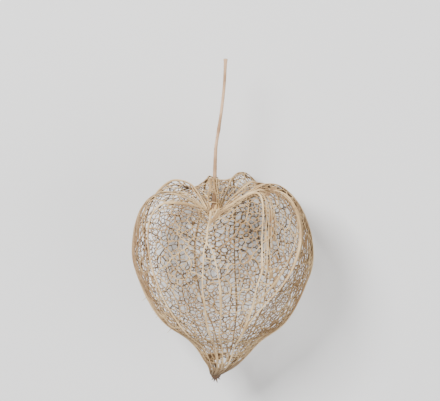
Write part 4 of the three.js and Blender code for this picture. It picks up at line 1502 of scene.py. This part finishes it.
@dataclass
class Tip:
    """The tip, where the ribs end in a brown knot with withered teeth."""

    wall: LanternWall
    # The azimuth, the lean and the length of each tooth
    teeth: tuple[tuple[float, float, float], ...] = (
        (20, 38, 2.1),
        (110, 46, 1.7),
        (205, 30, 2.3),
        (300, 48, 1.6),
    )
    tooth_places: tuple[float, ...] = (0, 0.3, 0.8, 1)
    tooth_radii: tuple[float, ...] = (0.42, 0.3, 0.14, 0.03)
    knot_radius: float = 1.25
    knot_flatness: float = 0.85

    def build(self) -> list[bpy.types.Object]:
        """Return the knot and its teeth.

        Returns:
            The object of the knot, then those of the teeth.
        """
        centre = np.array((self.wall.OFFSETS[-1], self.wall.meridian.POINTS[-1][1] - 0.1, 0.0))
        knot = bmesh.new()
        bmesh.ops.create_icosphere(knot, subdivisions=3, radius=self.knot_radius)
        draw = random.Random(5)
        for vert in knot.verts:
            angle = math.atan2(vert.co.x, vert.co.z)
            vert.co *= 1 + 0.1 * math.sin(5 * angle) + draw.uniform(-0.04, 0.04)
            vert.co.y *= self.knot_flatness
        bmesh.ops.translate(knot, verts=list(knot.verts), vec=Vector(centre))
        pieces = [make_piece("tip_knot", knot)]
        for number, (azimuth, lean, length) in enumerate(self.teeth):
            angle, tilt = math.radians(azimuth), math.radians(lean)
            out = np.array((math.sin(angle), 0, math.cos(angle)))
            run = np.linspace(0, 1, 14)
            bend = tilt * (0.5 + 0.8 * run)
            steps = np.stack((np.sin(bend) * out[0], -np.cos(bend), np.sin(bend) * out[2]), axis=-1)
            points = centre + np.cumsum(steps, axis=0) * (length + 0.25) / len(run)
            radii = smooth_curve(self.tooth_places, self.tooth_radii, run)
            pieces.append(make_piece(f"tooth_{number + 1}", make_tube(points, radii, 8)))
        return pieces


class Nodes:
    """Small helper that adds shader nodes to a tree and links them."""

    def __init__(self, tree: bpy.types.NodeTree) -> None:
        """Remember the tree."""
        self.tree = tree

    def add(self, kind: str, inputs: dict | None = None, **settings: object) -> bpy.types.Node:
        """Add a node.

        Args:
            kind: The node's type.
            inputs: Values for its inputs, or sockets to link to them.
            settings: Properties of the node.

        Returns:
            The node.
        """
        node = self.tree.nodes.new(kind)
        for name, value in settings.items():
            setattr(node, name, value)
        for name, value in (inputs or {}).items():
            if isinstance(value, bpy.types.NodeSocket):
                self.tree.links.new(value, node.inputs[name])
            else:
                node.inputs[name].default_value = value
        return node

    def mix(self, factor: object, first: object, second: object) -> bpy.types.NodeSocket:
        """Mix two colours and return the result.

        Args:
            factor: How much of the second colour there is.
            first: A colour or a socket.
            second: A colour or a socket.

        Returns:
            The socket with the mixed colour.
        """
        node = self.tree.nodes.new("ShaderNodeMix")
        node.data_type = "RGBA"
        for socket, value in zip((node.inputs[0], node.inputs[6], node.inputs[7]), (factor, first, second)):
            if isinstance(value, bpy.types.NodeSocket):
                self.tree.links.new(value, socket)
            else:
                socket.default_value = value if isinstance(value, float) else (*value, 1.0)
        return node.outputs[2]


def make_dry_tone() -> bpy.types.NodeTree:
    """Make the shared effect of dry plant matter: two tones in patches, dark specks and a fine grain.

    Returns:
        The node group, with a colour and a grain as its outputs.
    """
    group = bpy.data.node_groups.new("dry_tone", "ShaderNodeTree")
    for name in ("Light", "Deep", "Specks"):
        group.interface.new_socket(name=name, in_out="INPUT", socket_type="NodeSocketColor")
    group.interface.new_socket(name="Speck Share", in_out="INPUT", socket_type="NodeSocketFloat")
    group.interface.new_socket(name="Color", in_out="OUTPUT", socket_type="NodeSocketColor")
    group.interface.new_socket(name="Grain", in_out="OUTPUT", socket_type="NodeSocketFloat")
    nodes = Nodes(group)
    given = nodes.add("NodeGroupInput")
    place = nodes.add("ShaderNodeTexCoord").outputs["Object"]
    patches = nodes.add("ShaderNodeTexNoise", {"Vector": place, "Scale": 150.0, "Detail": 4.0})
    soft = nodes.add("ShaderNodeMapRange", {"Value": patches.outputs["Fac"], "From Min": 0.38,
                                            "From Max": 0.62})
    specks = nodes.add("ShaderNodeTexNoise", {"Vector": place, "Scale": 700.0, "Detail": 3.0})
    limit = nodes.add("ShaderNodeMath", {0: 0.72, 1: given.outputs["Speck Share"]}, operation="SUBTRACT")
    edge = nodes.add("ShaderNodeMath", {0: limit.outputs[0], 1: 0.1}, operation="ADD")
    marked = nodes.add("ShaderNodeMapRange", {"Value": specks.outputs["Fac"], "From Min": limit.outputs[0],
                                              "From Max": edge.outputs[0]})
    tone = nodes.mix(soft.outputs["Result"], given.outputs["Deep"], given.outputs["Light"])
    tone = nodes.mix(marked.outputs["Result"], tone, given.outputs["Specks"])
    nodes.add("NodeGroupOutput", {"Color": tone, "Grain": specks.outputs["Fac"]})
    return group


@dataclass(frozen=True)
class Fade:
    """A change of colour along an axis of the frame, from one place to another, both in metres."""

    axis: str
    start: float
    end: float
    most: float
    brown: tuple[float, float, float]


TIP_FADE = Fade("Y", -0.0335, -0.0395, 0.85, (0.10, 0.055, 0.03))
FLANK_FADE = Fade("X", -0.0150, -0.0215, 0.55, (0.24, 0.135, 0.065))
# Painted shade: the stalk is painted dark brown where it sinks into the top of the lantern, as the shade it
# lies in
FOOT_PAINTED_SHADE = Fade("Y", 0.0125, 0.0105, 0.88, (0.15, 0.08, 0.035))


@dataclass(frozen=True)
class Finish:
    """A dry plant finish.

    The strong veins are light and the fine ones deeper, the side that faces the hollow is painted dark as
    its shade, everything turns brown towards the tip and on the flank that weathered most, and the foot of
    the stalk is painted dark as the shade inside the lantern.
    """

    name: str
    light: tuple[float, float, float]
    deep: tuple[float, float, float]
    # inner: painted shade, the dark colour given to the side of a vein that faces the hollow of the lantern
    inner: tuple[float, float, float]
    specks: tuple[float, float, float]
    roughness: float
    speck_share: float = 0.08
    has_veins: bool = False
    fades: tuple[Fade, ...] = (TIP_FADE,)

    def material(self, group: bpy.types.NodeTree) -> bpy.types.Material:
        """Build the material.

        Args:
            group: The shared effect of dry plant matter.

        Returns:
            The material.
        """
        material = bpy.data.materials.new(self.name)
        material.use_nodes = True
        nodes = Nodes(material.node_tree)
        shader = material.node_tree.nodes["Principled BSDF"]
        shader.inputs["Roughness"].default_value = self.roughness
        tone = nodes.add("ShaderNodeGroup", {}, node_tree=group)
        for name, value in (("Light", self.light), ("Deep", self.deep), ("Specks", self.specks)):
            tone.inputs[name].default_value = (*value, 1.0)
        tone.inputs["Speck Share"].default_value = self.speck_share
        color = tone.outputs["Color"]
        # Veins get a deeper colour where they are fine, and painted shade on their side towards the hollow
        if self.has_veins:
            color = self._vein_color_and_inside_shade(nodes, color)
        place = nodes.add("ShaderNodeSeparateXYZ", {0: nodes.add("ShaderNodeTexCoord").outputs["Object"]})
        for fade in self.fades:
            turned = nodes.add("ShaderNodeMapRange", {"Value": place.outputs[fade.axis], "To Max": fade.most,
                                                      "From Min": fade.start, "From Max": fade.end})
            color = nodes.mix(turned.outputs["Result"], color, fade.brown)
        bump = nodes.add("ShaderNodeBump", {"Strength": 0.3, "Distance": 0.0001,
                                            "Height": tone.outputs["Grain"]})
        material.node_tree.links.new(color, shader.inputs["Base Color"])
        material.node_tree.links.new(bump.outputs["Normal"], shader.inputs["Normal"])
        return material

    def _vein_color_and_inside_shade(self, nodes: Nodes, color: bpy.types.NodeSocket) -> bpy.types.NodeSocket:
        """Deepen the colour of fine veins, and paint shade on the side towards the hollow.

        Args:
            nodes: The helper for the material's nodes.
            color: The socket with the colour so far.

        Returns:
            The socket with the new colour.
        """
        strength = nodes.add("ShaderNodeAttribute", attribute_name="strength")
        fine = nodes.add("ShaderNodeMapRange", {"Value": strength.outputs["Fac"], "From Max": 0.67,
                                                "To Min": 0.8, "To Max": 0.0})
        color = nodes.mix(fine.outputs["Result"], color, self.deep)
        # Painted shade: where a vein's normal turns away from the wall's outward normal, it takes the inner
        # colour
        outward = nodes.add("ShaderNodeAttribute", attribute_name="outward")
        facing = nodes.add("ShaderNodeVectorMath", {0: outward.outputs["Vector"],
                                                    1: nodes.add("ShaderNodeNewGeometry").outputs["Normal"]},
                           operation="DOT_PRODUCT")
        turned = nodes.add("ShaderNodeMapRange", {"Value": facing.outputs["Value"], "From Min": 0.35,
                                                  "From Max": -0.35, "To Max": 0.85})
        return nodes.mix(turned.outputs["Result"], color, self.inner)


NET_FINISH = Finish(
    "net veins",
    light=(0.64, 0.45, 0.23),
    deep=(0.34, 0.205, 0.09),
    # inner: painted shade for the side of the net's veins that faces the hollow
    inner=(0.09, 0.048, 0.02),
    specks=(0.17, 0.09, 0.035),
    roughness=0.75,
    has_veins=True,
    fades=(TIP_FADE, FLANK_FADE),
)
RIB_FINISH = Finish(
    "ribs",
    light=(0.82, 0.62, 0.35),
    deep=(0.55, 0.365, 0.175),
    # inner: painted shade for the side of the ribs that faces the hollow
    inner=(0.2, 0.12, 0.055),
    specks=(0.36, 0.21, 0.09),
    roughness=0.6,
    has_veins=True,
    fades=(TIP_FADE, FLANK_FADE),
)
STALK_FINISH = Finish(
    "stalk",
    light=(0.60, 0.39, 0.235),
    deep=(0.36, 0.21, 0.11),
    inner=(0.2, 0.1, 0.05),
    specks=(0.16, 0.08, 0.04),
    roughness=0.65,
    # The foot of the stalk takes painted shade
    fades=(TIP_FADE, FOOT_PAINTED_SHADE),
)
SEAT_FINISH = Finish(
    "seat",
    light=(0.58, 0.38, 0.17),
    deep=(0.44, 0.27, 0.11),
    inner=(0.24, 0.14, 0.07),
    specks=(0.24, 0.14, 0.07),
    roughness=0.75,
)
TIP_FINISH = Finish(
    "tip",
    light=(0.24, 0.15, 0.09),
    deep=(0.13, 0.075, 0.04),
    inner=(0.05, 0.03, 0.02),
    specks=(0.05, 0.03, 0.02),
    roughness=0.8,
)
HUSK_FINISH = Finish(
    "husk remnants",
    light=(0.42, 0.28, 0.14),
    deep=(0.27, 0.15, 0.065),
    inner=(0.2, 0.1, 0.04),
    specks=(0.20, 0.10, 0.04),
    roughness=0.7,
    speck_share=0.14,
)


def dress(pieces: list[bpy.types.Object], material: bpy.types.Material, node: str) -> None:
    """Give pieces their material and tie them to the frame.

    Args:
        pieces: The pieces.
        material: Their material.
        node: The solid that they stand for.
    """
    for piece in pieces:
        piece.data.materials.clear()
        piece.data.materials.append(material)
        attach(piece, "root")
        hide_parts(node)


@dataclass(frozen=True)
class Lamp:
    """One soft light: its place and the side of its square in metres, and its power in watts."""

    name: str
    place: tuple[float, float, float]
    size: float
    power: float


@dataclass
class Studio:
    """A pale floor, soft lights and a camera that looks down on the lantern."""

    lamps: tuple[Lamp, ...] = (
        Lamp("key", (-0.35, 0.45, 0.75), 0.28, 17.0),
        Lamp("fill", (0.55, -0.15, 0.5), 0.6, 4.0),
    )
    lit_place: tuple[float, float, float] = (0, 0, 0.02)
    sky: tuple[float, float, float, float] = (1.0, 0.98, 0.96, 1)
    sky_strength: float = 0.5
    floor_half: float = 1.5
    floor_grey: float = 0.76
    tilt: float = 12.0
    distance: float = 0.62
    view_width: float = 0.110
    target: tuple[float, float, float] = (-0.5, 3.2, 0.0)

    def build(self) -> None:
        """Make the floor, the lights, the world and the camera."""
        self._floor()
        for lamp in self.lamps:
            self._light(lamp)
        world = bpy.data.worlds.new("studio")
        bpy.context.scene.world = world
        world.use_nodes = True
        world.node_tree.nodes["Background"].inputs["Color"].default_value = self.sky
        world.node_tree.nodes["Background"].inputs["Strength"].default_value = self.sky_strength
        self._camera()

    def _floor(self) -> None:
        """Lay the floor."""
        mesh = bmesh.new()
        bmesh.ops.create_grid(mesh, x_segments=1, y_segments=1, size=self.floor_half)
        data = bpy.data.meshes.new("floor")
        mesh.to_mesh(data)
        mesh.free()
        floor = bpy.data.objects.new("floor", data)
        bpy.context.collection.objects.link(floor)
        material = bpy.data.materials.new("floor")
        material.use_nodes = True
        shader = material.node_tree.nodes["Principled BSDF"]
        shader.inputs["Base Color"].default_value = (self.floor_grey, self.floor_grey, self.floor_grey, 1)
        shader.inputs["Roughness"].default_value = 0.9
        data.materials.append(material)

    def _light(self, lamp: Lamp) -> None:
        """Hang one soft light that points at the lantern.

        Args:
            lamp: The light.
        """
        data = bpy.data.lights.new(lamp.name, "AREA")
        data.size = lamp.size
        data.energy = lamp.power
        light = bpy.data.objects.new(lamp.name, data)
        light.location = lamp.place
        aim = Vector(self.lit_place) - Vector(lamp.place)
        light.rotation_euler = aim.to_track_quat("-Z", "Y").to_euler()
        bpy.context.collection.objects.link(light)

    def _camera(self) -> None:
        """Place the camera, tilted towards the stalk so that the sunken top shows."""
        data = bpy.data.cameras.new("camera")
        data.sensor_width = 36.0
        data.lens = data.sensor_width * self.distance / self.view_width
        data.clip_start = 0.01
        camera = bpy.data.objects.new("camera", data)
        aim = (Vector(self.target) + Vector(SEAT_PLACE)) * MM
        angle = math.radians(self.tilt)
        camera.location = aim + Vector((0, math.sin(angle), math.cos(angle))) * self.distance
        camera.rotation_euler = (-angle, 0, 0)
        bpy.context.collection.objects.link(camera)
        bpy.context.scene.camera = camera


def main() -> None:
    """Build the lantern and its stalk, then the stage."""
    wall = LanternWall()
    net = VeinNet(wall)
    net.build()
    veins = NetVeins(net)
    tone = make_dry_tone()
    sleeve = FootSleeve()
    dress([veins.build(), sleeve.build()], NET_FINISH.material(tone), "lantern_net")
    dress([veins.remnants(), sleeve.husk()], HUSK_FINISH.material(tone), "lantern_net")
    dress(RibCords(wall).build(), RIB_FINISH.material(tone), "lantern_net")
    dress([Seat(wall).build()], SEAT_FINISH.material(tone), "lantern_net")
    dress(Tip(wall).build(), TIP_FINISH.material(tone), "lantern_net")
    dress([Stalk().build()], STALK_FINISH.material(tone), "stalk")
    Studio().build()


if __name__ == "__main__":
    main()
